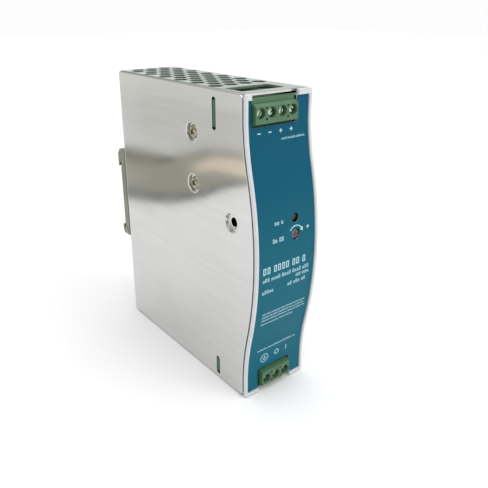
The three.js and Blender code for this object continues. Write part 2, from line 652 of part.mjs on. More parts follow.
function railLatch() {
  const foot = outline([
    [LATCH_Y[0], CLIP_Z[0]],
    [HOOK_Y - 1.2, CLIP_Z[0]],
    [HOOK_Y, CLIP_Z[0] + 1.4],
    [HOOK_Y, RAIL_BOTTOM_Z + 1.5],
    [LIP_FRONT_Y, RAIL_BOTTOM_Z + 1.7],
    [LIP_FRONT_Y, RAIL_BOTTOM_Z],
    [LATCH_Y[0], RAIL_BOTTOM_Z],
  ]);
  let latch = prism(foot, "x", [-CLIP_HALF_X, CLIP_HALF_X]);
  latch = latch.add(box([-LATCH_HALF_X, LATCH_HALF_X], LATCH_Y, [44, 76.6]));
  latch = latch.add(box([-5, 5], LATCH_Y, [26, 43]));
  latch = latch.subtract(box([-2.6, 2.6], [49, 51.5], [28.5, 31]));
  latch = latch.subtract(box([-2.2, 2.2], [49, 51.5], [LUG_Z[0] - 0.5, SPRING.to + 0.2]));
  const slotZ = [GUIDE_Z - 2.2, GUIDE_Z + 2.2 + LATCH_TRAVEL];
  return latch.subtract(prism(roundedRectangle([-2.15, 2.15], slotZ, 2.1), "y", [49, 51.5]));
}

// Compression spring with closed round wire, from the lug up to the top of the latch's window.
function latchSpring() {
  const points = [];
  const steps = SPRING.turns * 10;
  const zFrom = SPRING.from + SPRING.wire;
  const zTo = SPRING.to - SPRING.wire;
  for (let i = 0; i <= steps; i += 1) {
    const angle = (i / 10) * 2 * Math.PI;
    const z = zFrom + ((zTo - zFrom) * i) / steps;
    points.push(new THREE.Vector3(SPRING.ring * Math.cos(angle), SPRING.y + SPRING.ring * Math.sin(angle), z));
  }
  const section = new THREE.Shape();
  section.absarc(0, 0, SPRING.wire, 0, 2 * Math.PI);
  const path = new THREE.CatmullRomCurve3(points);
  const options = { steps, extrudePath: path, curveSegments: 3, bevelEnabled: false };
  return solid(new THREE.ExtrudeGeometry(section, options));
}

function addRailClip() {
  addMesh(supply, "rail_bracket", railBracket(), FINISH.clip);
  addMesh(supply, "rail_latch", railLatch(), FINISH.clip);
  addMesh(supply, "latch_spring", latchSpring(), FINISH.spring);

  const at = [0, GUIDE_Z];
  let pin = rod("y", at, 1.4, [47.75, 49.3], 14);
  pin = pin.add(rod("y", at, 1.9, [49.15, 51.1], 16));
  pin = pin.add(rod("y", at, 3.2, [51.1, 51.9], 18));
  addMesh(supply, "latch_guide_rivet", pin, FINISH.plated);

  RIVETS_AT.forEach((place, i) => {
    let rivet = rod("y", place, 1.4, [46, 49.5], 14);
    rivet = rivet.add(rod("y", place, 2.3, [45.6, 46.35], 16));
    rivet = rivet.add(rod("y", place, 2.2, [49.15, 50], 16));
    addMesh(supply, `bracket_rivet_${i + 1}`, rivet, FINISH.plated);
  });
}

// ---------------------------------------------------------------- assembly

addMesh(supply, "left_cover", leftCover(), FINISH.shell);
addMesh(supply, "right_cover", rightCover(), FINISH.shell);
addMesh(supply, "front_bezel", frontBezel(), FINISH.bezel);
addMesh(supply, "front_label", frontLabel(), FINISH.label);
addTerminals("output", OUTPUT_CENTRE, 0, OUTPUT_ROW, [62, 28, 80, -48]);
addTerminals("input", INPUT_CENTRE, Math.PI, INPUT_ROW, [35, 15, 50]);
addMesh(supply, "main_board", mainBoard(), FINISH.board);
addMesh(supply, "front_board", frontBoard(), FINISH.board);
addIndicators();
addHeatsink("output", "output_rectifier", DIMPLES[0]);
addHeatsink("switch", "switching_transistor", DIMPLES[1]);
addTransformer();
addCapacitors();
addSmallParts();
addRailClip();

export default supply;
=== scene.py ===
"""Looks of a DIN rail power supply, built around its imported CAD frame.

Shapes are drawn in millimetres in the frame's own axes and become metres when a piece is made.
"""

import math
import random

import bmesh
import bpy
from mathutils import Matrix, Vector
from mathutils.geometry import tessellate_polygon


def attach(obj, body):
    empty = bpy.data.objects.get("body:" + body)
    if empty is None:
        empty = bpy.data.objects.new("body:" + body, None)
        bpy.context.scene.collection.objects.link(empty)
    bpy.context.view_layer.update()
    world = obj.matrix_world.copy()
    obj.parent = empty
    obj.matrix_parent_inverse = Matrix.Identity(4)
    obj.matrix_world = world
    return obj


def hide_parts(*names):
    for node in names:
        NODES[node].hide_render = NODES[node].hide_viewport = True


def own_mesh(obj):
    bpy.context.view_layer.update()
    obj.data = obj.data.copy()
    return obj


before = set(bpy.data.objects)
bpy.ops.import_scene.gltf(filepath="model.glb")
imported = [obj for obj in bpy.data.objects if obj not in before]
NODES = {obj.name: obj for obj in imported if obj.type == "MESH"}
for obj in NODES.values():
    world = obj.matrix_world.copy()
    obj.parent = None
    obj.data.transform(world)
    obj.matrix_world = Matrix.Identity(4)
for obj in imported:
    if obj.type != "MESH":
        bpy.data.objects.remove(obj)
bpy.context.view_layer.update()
MM = 0.001

# -------- dimensions shared with the CAD

WIDTH = 32
HEIGHT = 125.2
LEFT = -WIDTH / 2
RIGHT = WIDTH / 2
MIDDLE_Z = HEIGHT / 2
FLAT_FRONT_Y = -48
CREST = 6.5
CREST_HALF = 34
WAVE_HALF = 55
CASE_BACK_Y = 47.5
SHEET = 1
GAP = 0.3
FRONT_STEPS = 48
BEND = 2
FOLD = 1.05
BEZEL_EDGE = 1.65
COVER_INSET = BEZEL_EDGE + 0.6
SKIRT_BACK_Y = -44
LABEL_RECESS = 0.95
SEAT_HALF = 14.7
SEAT_Z = (1.9, HEIGHT - 2.3)
TOP_NOTCH_X, TOP_NOTCH_Z = (-13, 9), 113.1
BOTTOM_NOTCH_X, BOTTOM_NOTCH_Z = (-9, 8.7), 11
FILM_FACE = 0.72
PRINT_SHIFT = 0.5

VENT_FLATS = 5.5
VENT_PITCH = 7
VENT_ROWS = 12
VENT_FIRST_Y = -23

POLE_PITCH = 5.08
OUTPUT_CENTRE = (-2.15, 118.2)
INPUT_CENTRE = (-0.2, 5.8)
BLOCK_FRONT_Y = -49
BLOCK_BACK_Y = -29.6
THREAD_PITCH = 0.5
WIRE_Y = -35.25

LED_AT = (4.4, 77.3, 1.8)
TRIMMER_AT = (4.4, 70.6, 2.15)
DIMPLE_DEPTH = 1.6
DIMPLE_REACH = 4.25
DIMPLES = ((-13.7, 106.8, 1.7), (-13.8, 85.5, 1.7), (-38.9, 75.7, 1.85))
RIVETS_AT = ((-11, 62), (11, 62))
BOARD_FACE = 9.1

SHARP_EDGE = math.radians(35)
SMOOTH_UP_TO = math.radians(32)

# -------- node materials


class Nodes:
    """Short names for the few shader nodes that every finish here is built from."""

    def __init__(self, owner, coordinate="Object"):
        owner.use_nodes = True
        self.owner = owner
        self.tree = owner.node_tree
        self.shader = self.tree.nodes.get("Principled BSDF")
        self.place = self.new("TexCoord").outputs[coordinate]

    def feed(self, node, **inputs):
        """Sets or links a node's inputs. In an input's name, _ stands for a space."""
        for name, value in inputs.items():
            socket = node.inputs[name.replace("_", " ")]
            if isinstance(value, bpy.types.NodeSocket):
                self.tree.links.new(value, socket)
            else:
                socket.default_value = value
        return node

    def new(self, kind, **inputs):
        return self.feed(self.tree.nodes.new("ShaderNode" + kind), **inputs)

    def stretched(self, factors):
        return self.new("Mapping", Scale=factors, Vector=self.place).outputs["Vector"]

    def noise(self, scale, detail=3.0, vector=None):
        vector = vector or self.place
        return self.new("TexNoise", Scale=scale, Detail=detail, Roughness=0.55, Vector=vector).outputs["Fac"]

    def ramp(self, value, stops):
        node = self.new("ValToRGB", Fac=value)
        while len(node.color_ramp.elements) < len(stops):
            node.color_ramp.elements.new(0.5)
        for element, (position, colour) in zip(node.color_ramp.elements, stops):
            element.position = position
            element.color = (*colour, 1)
        return node.outputs["Color"]

    def spread(self, value, low, high, span=(0.3, 0.7)):
        """Maps a value from a span to low and high."""
        return self.new("MapRange", From_Min=span[0], From_Max=span[1], To_Min=low, To_Max=high,
                        Value=value).outputs["Result"]

    def bump(self, height, depth_mm, strength=1.0, **under):
        return self.new("Bump", Strength=strength, Distance=depth_mm * MM, Height=height,
                        **under).outputs["Normal"]

    def mix(self, factor, first, second):
        node = self.new("Mix")
        node.data_type = "RGBA"
        self.feed(node, Factor=factor)
        for socket, value in zip([i for i in node.inputs if i.type == "RGBA"], (first, second)):
            if isinstance(value, tuple):
                socket.default_value = (*value, 1)
            else:
                self.tree.links.new(value, socket)
        return [o for o in node.outputs if o.type == "RGBA"][0]


def linear(red, green, blue):
    """A display colour, 0 to 255, as the linear colour that a shader takes."""

    def channel(value):
        value /= 255
        return value / 12.92 if value <= 0.04045 else ((value + 0.055) / 1.055) ** 2.4

    return (channel(red), channel(green), channel(blue))


def shaded(colour, factor):
    return tuple(min(1.0, c * factor) for c in colour)


def finish(name, colour, rough, metal=0.0, vary=0.12, patch=60, grain=900, grain_mm=0.01,
           specular=0.5, **sockets):
    """A finish with cloudy colour and roughness changes and a fine surface grain."""
    n = Nodes(bpy.data.materials.new(name))
    clouds = n.ramp(n.noise(patch, 4), [(0.3, shaded(colour, 1 - vary)), (0.7, shaded(colour, 1 + vary))])
    n.feed(n.shader, Base_Color=clouds, Roughness=n.spread(n.noise(patch * 2.3, 5), *rough),
           Normal=n.bump(n.noise(grain, 3), grain_mm), Metallic=metal, Specular_IOR_Level=specular,
           **sockets)
    return n.owner


def case_metal():
    """Bright rolled sheet: a slight waviness, streaks along the rolling direction, smears."""
    n = Nodes(bpy.data.materials.new("case_metal"))
    streaks = n.noise(1.0, 3, n.stretched((500, 14, 500)))
    smears = n.ramp(n.noise(22, 2), [(0.3, linear(201, 202, 199)), (0.7, linear(213, 213, 212))])
    fine = n.ramp(streaks, [(0.35, linear(202, 202, 199)), (0.65, linear(212, 212, 211))])
    waves = n.bump(n.noise(1.0, 0, n.stretched((9, 9, 22))), 0.5, 0.5)
    n.feed(n.shader, Base_Color=n.mix(0.45, smears, fine), Roughness=n.spread(n.noise(30, 2), 0.1, 0.15),
           Normal=n.bump(streaks, 0.002, 0.4, Normal=waves), Metallic=1.0)
    return n.owner


def circuit_board():
    """Solder mask over faint tracks."""
    n = Nodes(bpy.data.materials.new("circuit_board"))
    cells = n.new("TexVoronoi", Scale=260, Vector=n.place)
    cells.distance = "MANHATTAN"
    height = cells.outputs["Distance"]
    tracks = n.ramp(height, [(0.42, linear(36, 74, 48)), (0.5, linear(52, 96, 64))])
    n.feed(n.shader, Base_Color=tracks, Roughness=n.spread(n.noise(300, 3), 0.3, 0.45),
           Normal=n.bump(height, 0.03, 0.5))
    return n.owner


def label_film():
    """Matt printed film, with a painted reflection of the floor: a little lighter towards its lower end."""
    n = Nodes(bpy.data.materials.new("label_film"))
    # Painted reflection of the floor: the film's tone is lighter low down and darker higher up.
    height = n.spread(n.new("SeparateXYZ", Vector=n.place).outputs["Z"], 0.0, 1.0, (0.01, 0.11))
    tone = n.ramp(height, [(0.0, linear(14, 98, 117)), (0.45, linear(15, 96, 114)),
                           (0.8, linear(2, 83, 107)), (1.0, linear(3, 81, 107))])
    speckled = n.mix(n.spread(n.noise(2600, 2), 0.0, 0.1), tone, linear(20, 120, 140))
    n.feed(n.shader, Base_Color=speckled, Roughness=n.spread(n.noise(90, 4), 0.42, 0.52),
           Normal=n.bump(n.noise(3200, 2), 0.006, 0.5), Specular_IOR_Level=0.12)
    return n.owner


# Colour as displayed, range of roughness, and what else differs from the usual finish.
FINISHES = {
    "copper_winding": ((176, 92, 44), (0.22, 0.34), dict(metal=0.85, vary=0.18, patch=400)),
    # Hole walls: the duller cut edge of the sheet, with painted shade and a painted green reflection of the
    # board inside the vents.
    "punched_edge_and_painted_shade": ((120, 137, 126), (0.5, 0.62), dict(metal=0.35, vary=0.1, patch=500, grain=1500)),
    "bezel_plastic": ((209, 212, 214), (0.34, 0.46),
                      dict(vary=0.03, patch=80, grain=2400, grain_mm=0.008, specular=0.4)),
    "label_print": ((176, 212, 224), (0.4, 0.5), dict(vary=0.06, patch=500, specular=0.3)),
    "terminal_plastic": ((76, 112, 82), (0.26, 0.38), dict(vary=0.1, patch=260, grain=1800, specular=0.35)),
    "plated_steel": ((206, 208, 204), (0.16, 0.3),
                     dict(metal=1.0, vary=0.08, patch=500, grain=1500, grain_mm=0.006)),
    # Plated steel with painted shade and a painted green reflection of the terminal wells: darker and
    # greener than plated_steel.
    "screw_steel": ((186, 198, 182), (0.16, 0.26),
                    dict(metal=1.0, vary=0.1, patch=500, grain=1200, grain_mm=0.003)),
    "cross_screw_steel": ((158, 154, 134), (0.2, 0.3),
                          dict(metal=1.0, patch=500, grain=1200, grain_mm=0.004)),
    "contact_brass": ((206, 170, 98), (0.22, 0.36), dict(metal=1.0, patch=500)),
    "clip_steel": ((138, 137, 125), (0.3, 0.46), dict(metal=0.7, vary=0.08, patch=120, grain=1200)),
    "spring_steel": ((150, 150, 148), (0.2, 0.3), dict(metal=1.0, patch=800)),
    "lamp_lens": ((74, 92, 58), (0.12, 0.2),
                  dict(vary=0.1, patch=600, grain_mm=0.003, Transmission_Weight=0.25)),
    "light_pipe": ((40, 52, 40), (0.1, 0.2),
                   dict(vary=0.08, patch=500, grain_mm=0.003, Transmission_Weight=0.35)),
    "trimmer_plastic": ((44, 74, 130), (0.36, 0.46), dict(patch=400)),
    "rotor_plastic": ((120, 104, 110), (0.36, 0.48), dict(patch=400)),
    "insulation_film": ((226, 220, 198), (0.36, 0.46), dict(vary=0.04, patch=90)),
    "heatsink_metal": ((186, 189, 192), (0.3, 0.42), dict(metal=0.95, vary=0.06, patch=160, grain=1400)),
    "black_epoxy": ((34, 34, 37), (0.42, 0.56), dict(vary=0.15, patch=300, grain=1600, grain_mm=0.015)),
    "ferrite": ((56, 57, 60), (0.5, 0.66), dict(vary=0.15, patch=300, grain=1500, grain_mm=0.02)),
    "winding_tape": ((222, 186, 78), (0.3, 0.42), dict(vary=0.06, patch=200)),
    "capacitor_sleeve": ((38, 46, 72), (0.26, 0.36), dict(vary=0.1, patch=200, grain_mm=0.006)),
    "can_aluminium": ((206, 207, 208), (0.24, 0.36), dict(metal=1.0, vary=0.05, patch=300)),
    "film_capacitor": ((206, 168, 52), (0.34, 0.46), dict(vary=0.07, patch=240)),
    "fuse_ceramic": ((228, 222, 206), (0.34, 0.46), dict(vary=0.04, patch=260)),
    "thermistor": ((46, 92, 62), (0.4, 0.56), dict(vary=0.14, patch=500, grain_mm=0.02)),
    "guide_plastic": ((46, 46, 49), (0.44, 0.58), dict(vary=0.1, patch=200, grain=1500, grain_mm=0.012)),
}
MATERIALS = {"case_metal": case_metal(), "label_film": label_film(), "circuit_board": circuit_board()}
for material_name, (tone, roughness, changes) in FINISHES.items():
    MATERIALS[material_name] = finish(material_name, linear(*tone), roughness, **changes)

# -------- 2-D outlines, in millimetres


def circle(centre, radius, count=48):
    return [(centre[0] + radius * math.cos(2 * math.pi * i / count),
             centre[1] + radius * math.sin(2 * math.pi * i / count)) for i in range(count)]


def rectangle(u0, u1, v0, v1):
    return [(u0, v0), (u1, v0), (u1, v1), (u0, v1)]


def centred(u, v, width, height):
    return rectangle(u - width / 2, u + width / 2, v - height / 2, v + height / 2)


def quarter(centre, radii, start, steps, kept):
    """The kept steps of an ellipse's quarter, which begins start quarter turns from the u axis."""
    angles = [math.pi / 2 * (start + i / steps) for i in kept]
    return [(centre[0] + radii[0] * math.cos(a), centre[1] + radii[1] * math.sin(a)) for a in angles]


def rounded(points, radius, steps=4):
    """The same outline with its corners rounded. radius is one number, or one for each corner."""
    result = []
    count = len(points)
    for i, point in enumerate(points):
        r = radius[i] if isinstance(radius, (list, tuple)) else radius
        here, before, after = Vector(point), Vector(points[i - 1]), Vector(points[(i + 1) % count])
        a, b = (before - here), (after - here)
        turn = a.angle(b) if a.length and b.length else math.pi
        if r <= 0 or turn > math.radians(174):
            result.append(tuple(here))
            continue
        reach = min(r / math.tan(turn / 2), a.length * 0.48, b.length * 0.48)
        start, end = here + a.normalized() * reach, here + b.normalized() * reach
        for k in range(steps + 1):
            t = k / steps
            curve = start * (1 - t) ** 2 + here * (2 * t * (1 - t)) + end * t ** 2
            result.append(tuple(curve))
    return result


def wave(z):
    """How far the front stands out of its flat ends at a height."""
    d = abs(z - MIDDLE_Z)
    if d < CREST_HALF:
        return CREST * (1 - d * d / (CREST_HALF * WAVE_HALF))
    if d < WAVE_HALF:
        return CREST * (WAVE_HALF - d) ** 2 / (WAVE_HALF * (WAVE_HALF - CREST_HALF))
    return 0.0


def front_y(z, inset=0.0):
    return FLAT_FRONT_Y - wave(z) + inset


def signed_area(points):
    return sum(a[0] * b[1] - b[0] * a[1] for a, b in zip(points, points[1:] + points[:1])) / 2


def clean(points, ccw):
    """Drops repeated points and turns the outline the way asked."""
    kept = [p for i, p in enumerate(points)
            if (Vector(p) - Vector(points[i - 1])).length > 1e-4]
    return kept if (signed_area(kept) > 0) == ccw else kept[::-1]


def inward(points):
    """For each corner, the vector that moves both its sides by one unit into the material."""
    count = len(points)
    result = []
    for i in range(count):
        here = Vector(points[i])
        a = (here - Vector(points[i - 1])).normalized()
        b = (Vector(points[(i + 1) % count]) - here).normalized()
        n1, n2 = Vector((-a.y, a.x)), Vector((-b.y, b.x))
        middle = n1 + n2
        if middle.length < 1e-6:
            middle = n1
        middle.normalize()
        result.append(middle / max(0.45, middle.dot(n1)))
    return result


# -------- solids, in millimetres


def outward(bm):
    """The same solid with its faces turned outwards."""
    bmesh.ops.recalc_face_normals(bm, faces=bm.faces)
    return bm


def plate(loops, thickness, front=0.12, back=None, steps=2, formed=(), punched=False):
    """A flat plate in (u, v, w), w from 0 to its thickness, with rounded edges.

    loops is the outline and then its holes. front and back are the radii of the edges at w = 0
    and w = thickness. Loops in formed get no wall: their two rings of vertices are returned.
    With punched, the walls of the holes take the piece's second material.
    """
    back = front if back is None else back
    bm = bmesh.new()
    caps = {"front": [], "back": []}
    rings = []
    angles = [math.pi / 2 * k / steps for k in range(steps + 1)]
    rounding = [(1 - math.sin(a), 1 - math.cos(a)) for a in angles]
    edges = [(front * inset, front * w) for inset, w in rounding]
    edges += [(back * inset, thickness - back * w) for inset, w in reversed(rounding)]
    if front <= 0 or back <= 0:
        edges = [edges[0], edges[-1]]
    for number, loop in enumerate(loops):
        points = clean(loop, ccw=number == 0)
        normals = inward(points)
        shaped = number in formed
        rows = []
        for inset, w in ((0, 0), (0, thickness)) if shaped else edges:
            rows.append([bm.verts.new((p[0] + n.x * inset, p[1] + n.y * inset, w))
                         for p, n in zip(points, normals)])
        if shaped:
            rings.append((rows[0], rows[-1]))
        else:
            faces_before = len(bm.faces)
            join_rings(bm, rows)
            for face in list(bm.faces)[faces_before:]:
                face.material_index = int(punched and number > 0)
        caps["front"].append(rows[0])
        caps["back"].append(rows[-1])
    for side in caps.values():
        flat = [v for row in side for v in row]
        outline = [[Vector((v.co.x, v.co.y, 0)) for v in row] for row in side]
        for triangle in tessellate_polygon(outline):
            corners = [flat[i] for i in triangle]
            if len(set(corners)) == 3 and bm.faces.get(corners) is None:
                bm.faces.new(corners)
    outward(bm)
    return (bm, rings) if formed else bm


def join_rings(bm, rows):
    """Quads between successive rings of vertices, and triangles where a ring is one point."""
    for low, high in zip(rows, rows[1:]):
        for i in range(len(low)):
            j = (i + 1) % len(low)
            unique = list(dict.fromkeys([low[i], low[j], high[j], high[i]]))
            if len(unique) > 2:
                bm.faces.new(unique)


def lofted(rows, closed=False):
    """A solid through rings of points, a ring of one point being a tip. Its ends are capped, or with
    closed they join."""
    bm = bmesh.new()
    count = max(len(row) for row in rows)
    rings = []
    for row in rows:
        verts = [bm.verts.new(point) for point in row]
        rings.append(verts * count if len(verts) == 1 else verts)
    if closed:
        rings.append(rings[0])
    join_rings(bm, rings)
    for end in () if closed else (rings[0], rings[-1]):
        if end[0] is not end[1]:
            bm.faces.new(end)
    return outward(bm)


def crease(bm, axis, places):
    """Cuts every face at these places along an axis, so that the mesh can bend there."""
    normal = Vector((0, 0, 0))
    normal[axis] = 1
    for place in places:
        geometry = bm.verts[:] + bm.edges[:] + bm.faces[:]
        bmesh.ops.bisect_plane(bm, geom=geometry, plane_co=normal * place, plane_no=normal, dist=1e-5)
    return bm


def mapped(bm, place):
    for v in bm.verts:
        v.co = place(v.co.x, v.co.y, v.co.z)
    return outward(bm)


def extruded(outline, span, edge=0.15):
    """A rounded-edge prism along x, from its outline in (y, z)."""
    bm = plate([outline], span[1] - span[0], edge)
    return mapped(bm, lambda u, v, w: Vector((span[0] + w, u, v)))


def block(x, y, z, edge=0.15, corner=0.0):
    outline = rectangle(*y, *z)
    return extruded(rounded(outline, corner) if corner else outline, x, edge)


def lathe(profile, axis, centre, segments=32, closed=False):
    """A turned solid from a profile of (radius, place along the axis)."""
    rows = []
    for radius, along in profile:
        angles = [2 * math.pi * i / segments for i in range(segments if radius else 1)]
        rows.append([turned(axis, centre, radius, angle, along) for angle in angles])
    return lofted(rows, closed)


def turned(axis, centre, radius, angle, along):
    a, b = centre[0] + radius * math.cos(angle), centre[1] + radius * math.sin(angle)
    return {"x": Vector((along, a, b)), "y": Vector((a, along, b)), "z": Vector((a, b, along))}[axis]


def tube(points, radius, sides):
    """A round wire along points."""
    rows = []
    up = None
    for i, point in enumerate(points):
        along = (points[min(i + 1, len(points) - 1)] - points[max(i - 1, 0)]).normalized()
        up = up or along.orthogonal().normalized()
        up = (up - along * up.dot(along)).normalized()
        across = along.cross(up)
        angles = [2 * math.pi * k / sides for k in range(sides)]
        rows.append([point + radius * (up * math.cos(a) + across * math.sin(a)) for a in angles])
    return lofted(rows)


def merged(*parts):
    """Several bodies in one mesh."""
    whole = bmesh.new()
    for part in parts:
        temporary = bpy.data.meshes.new("merge")
        part.to_mesh(temporary)
        whole.from_mesh(temporary)
        bpy.data.meshes.remove(temporary)
        part.free()
    return whole


def thread(root, crest, start, end, flat):
    """A screw thread's part of a turned profile, one ridge for each turn."""
    profile = []
    while start < end:
        profile += [(root, start), (crest, start + 0.2), (crest, start + 0.2 + flat)]
        start += THREAD_PITCH
    return profile


def moved(bm, matrix):
    bmesh.ops.transform(bm, matrix=matrix, verts=bm.verts)
    return bm


def combined(base, tools, operation="DIFFERENCE"):
    """The base with each tool cut from it or joined to it."""
    objects = []
    for part in (base, *tools):
        mesh = bpy.data.meshes.new("boolean")
        part.to_mesh(mesh)
        part.free()
        objects.append(placed("boolean", mesh))
    for tool in objects[1:]:
        modifier = objects[0].modifiers.new("cut", "BOOLEAN")
        modifier.object = tool
        modifier.operation = operation
        modifier.solver = "EXACT"
    graph = bpy.context.evaluated_depsgraph_get()
    result = bmesh.new()
    result.from_mesh(objects[0].evaluated_get(graph).to_mesh())
    for shape in objects:
        mesh = shape.data
        bpy.data.objects.remove(shape)
        bpy.data.meshes.remove(mesh)
    bmesh.ops.remove_doubles(result, verts=result.verts, dist=1e-4)
    return result


def refined(node, edge, steps=2):
    """A copy of a CAD node's solid with its flat faces joined up and its sharp edges rounded."""
    bm = bmesh.new()
    bm.from_mesh(NODES[node].data)
    bmesh.ops.scale(bm, vec=(1 / MM,) * 3, verts=bm.verts)
    bmesh.ops.remove_doubles(bm, verts=bm.verts, dist=1e-3)
    bmesh.ops.dissolve_limit(bm, angle_limit=math.radians(0.6), verts=bm.verts, edges=bm.edges)
    sharp = [e for e in bm.edges if len(e.link_faces) == 2 and e.calc_face_angle(0) > SHARP_EDGE]
    bmesh.ops.bevel(bm, geom=sharp, offset=edge, segments=steps, affect="EDGES", profile=0.5,
                    clamp_overlap=True)
    return outward(bm)


# -------- pieces


def placed(name, data):
    """A Blender object for a mesh, light or camera, in the scene."""
    shape = bpy.data.objects.new(name, data)
    bpy.context.scene.collection.objects.link(shape)
    return shape


def piece(name, bm, material, body="case", replaces=(), edges=None):
    """Makes a Blender object from a solid in millimetres and hands it to the frame. edges is the
    second material, of the faces that plate() marked as punched."""
    bmesh.ops.scale(bm, vec=(MM,) * 3, verts=bm.verts)
    mesh = bpy.data.meshes.new(name)
    bm.to_mesh(mesh)
    bm.free()
    mesh.materials.append(MATERIALS[material])
    if edges:
        mesh.materials.append(MATERIALS[edges])
    mesh.polygons.foreach_set("use_smooth", [True] * len(mesh.polygons))
    mesh.set_sharp_from_angle(angle=SMOOTH_UP_TO)
    shape = placed(name, mesh)
    weighted = shape.modifiers.new("even_normals", "WEIGHTED_NORMAL")
    weighted.keep_sharp = True
    weighted.weight = 60
    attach(shape, body)
    if replaces:
        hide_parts(*replaces)
    return shape


def rounded_copy(node, ending, edge, material, body="case", steps=2):
    """A piece that is a node's CAD solid with rounded edges."""
    piece(f"{node}_{ending}", refined(node, edge, steps), material, body, replaces=[node])


def turned_piece(name, profile, axis, centre, material, replaces=(), segments=32):
    piece(name, lathe(profile, axis, centre, segments), material, replaces=replaces)


# -------- covers


def folding(start, heading, runs):
    """A sheet's way round its bends: returns a map from (length along, depth) to the plane, and the
    places where each bend starts and ends. Runs are straight lengths, and outer radii of right turns
    between them. Depth 0 is the outer face."""
    stations = []
    point, direction, along = Vector(start), Vector(heading), 0.0
    for number, size in enumerate(runs):
        side = Vector((direction.y, -direction.x))
        if number % 2 == 0:
            stations.append((along, "line", point.copy(), direction.copy(), size))
            point = point + direction * size
            along += size
        else:
            middle = size - SHEET / 2
            stations.append((along, "bend", point.copy(), direction.copy(), size))
            point = point + direction * size + side * size
            direction = side
            along += middle * math.pi / 2

    def place(s, w):
        at = max((st for st in stations if st[0] <= s + 1e-9), default=stations[0], key=lambda st: st[0])
        origin, kind, point, direction, size = at
        side = Vector((direction.y, -direction.x))
        if kind == "line":
            return point + direction * (s - origin) + side * w
        angle = (s - origin) / (size - SHEET / 2)
        centre = point + side * size
        return centre - side * (size - w) * math.cos(angle) + direction * (size - w) * math.sin(angle)

    bends = [(st[0], st[0] + (st[4] - SHEET / 2) * math.pi / 2) for st in stations if st[1] == "bend"]
    return place, bends


def bend_creases(bends, steps=8):
    return [low + (high - low) * i / steps for low, high in bends for i in range(steps + 1)]


def dimple(bm, rims, centre, hole):
    """A formed cone pressed into the sheet, with a hole in its floor."""
    front, back = rims
    count = len(front)
    start = math.atan2(front[0].co.y - centre[1], front[0].co.x - centre[0])
    turn = signed_area([(v.co.x, v.co.y) for v in front])
    step = math.copysign(2 * math.pi / count, turn)
    reach, floor, under = DIMPLE_REACH, DIMPLE_DEPTH, DIMPLE_DEPTH + SHEET
    profile = [(reach - 0.25, 0.03), (reach - 0.5, 0.16), (3.35, floor - 0.16), (3.1, floor - 0.03),
               (2.85, floor), (hole + 0.1, floor), (hole + 0.02, floor + 0.04), (hole, floor + 0.12),
               (hole, under - 0.1), (hole + 0.1, under), (3.3, under), (3.7, under - 0.1),
               (4.0, under - 0.3), (reach - 0.1, SHEET + 0.1)]
    rows = [front]
    for radius, depth in profile:
        rows.append([bm.verts.new((centre[0] + radius * math.cos(start + step * i),
                                   centre[1] + radius * math.sin(start + step * i), depth))
                     for i in range(count)])
    rows.append(back)
    join_rings(bm, rows)


def left_cover():
    """Left wall and back wall, folded from one sheet. The flat pattern is (along, z)."""
    place, bends = folding((LEFT, 0), (0, 1), [CASE_BACK_Y - BEND, BEND, RIGHT - SHEET - GAP - LEFT - BEND])
    bend, wall_end = bends[0]
    end = wall_end + RIGHT - SHEET - GAP - LEFT - BEND
    bottom, top, corner = 0.6, HEIGHT - 0.3, 1.5
    front = [(front_y(z, COVER_INSET), z)
             for z in (top - corner - (top - bottom - 2 * corner) * i / FRONT_STEPS
                       for i in range(FRONT_STEPS + 1))]
    nose = FLAT_FRONT_Y + COVER_INSET
    back_bottom, back_top = 10, top - 2.2
    outline = [(nose + corner, bottom), (43.6, bottom)]
    outline += quarter((43.6, bottom + 2.86), (2.86, 2.86), -1, 6, range(1, 7))
    outline += [(bend + 0.98, 4.2), (wall_end - 0.1, back_bottom), (end, back_bottom)]
    outline += [(end, back_top), (wall_end + 0.3, back_top)]
    outline += quarter((45.3, back_top), (2.4, 2.2), 0, 6, range(1, 7))
    outline += quarter((nose + corner, top - corner), (corner, corner), 1, 5, range(5))
    outline += front
    outline += quarter((nose + corner, bottom + corner), (corner, corner), 2, 5, range(1, 5))
    slots = [rounded(rectangle(-30, -27.6, *span), 1.18, 8) for span in ((109.9, 122.3), (1.9, 10.6))]
    rivets = [circle((wall_end + x - LEFT - BEND, z), 1.6, 24) for x, z in RIVETS_AT]
    formed = [circle((y, z), DIMPLE_REACH, 56) for y, z, _ in DIMPLES]
    loops = [outline, *slots, *rivets, *formed]
    bm, rings = plate(loops, SHEET, 0.16, steps=3, formed=range(len(loops) - len(formed), len(loops)))
    for (y, z, hole), rims in zip(DIMPLES, rings):
        dimple(bm, rims, (y, z), hole)
    outward(bm)
    crease(bm, 0, bend_creases(bends))

    def at(s, z, w):
        x, y = place(s, w)
        return Vector((x, y, z))

    piece("left_cover_sheet", mapped(bm, at), "case_metal", replaces=["left_cover"])


def vent_holes(across):
    """Hexagons standing on a corner, in rows of four and three, at (along, y)."""
    radius = VENT_FLATS / math.sqrt(3)
    holes = []
    for row in range(VENT_ROWS):
        count = 4 if row % 2 == 0 else 3
        y = VENT_FIRST_Y + row * VENT_PITCH * math.sqrt(3) / 2
        for i in range(count):
            middle = (across((i - (count - 1) / 2) * VENT_PITCH), y)
            corners = [(middle[0] + radius * math.cos(a), middle[1] + radius * math.sin(a))
                       for a in (math.pi / 2 + k * math.pi / 3 for k in range(6))]
            holes.append(rounded(corners, 0.35, 2))
    return holes


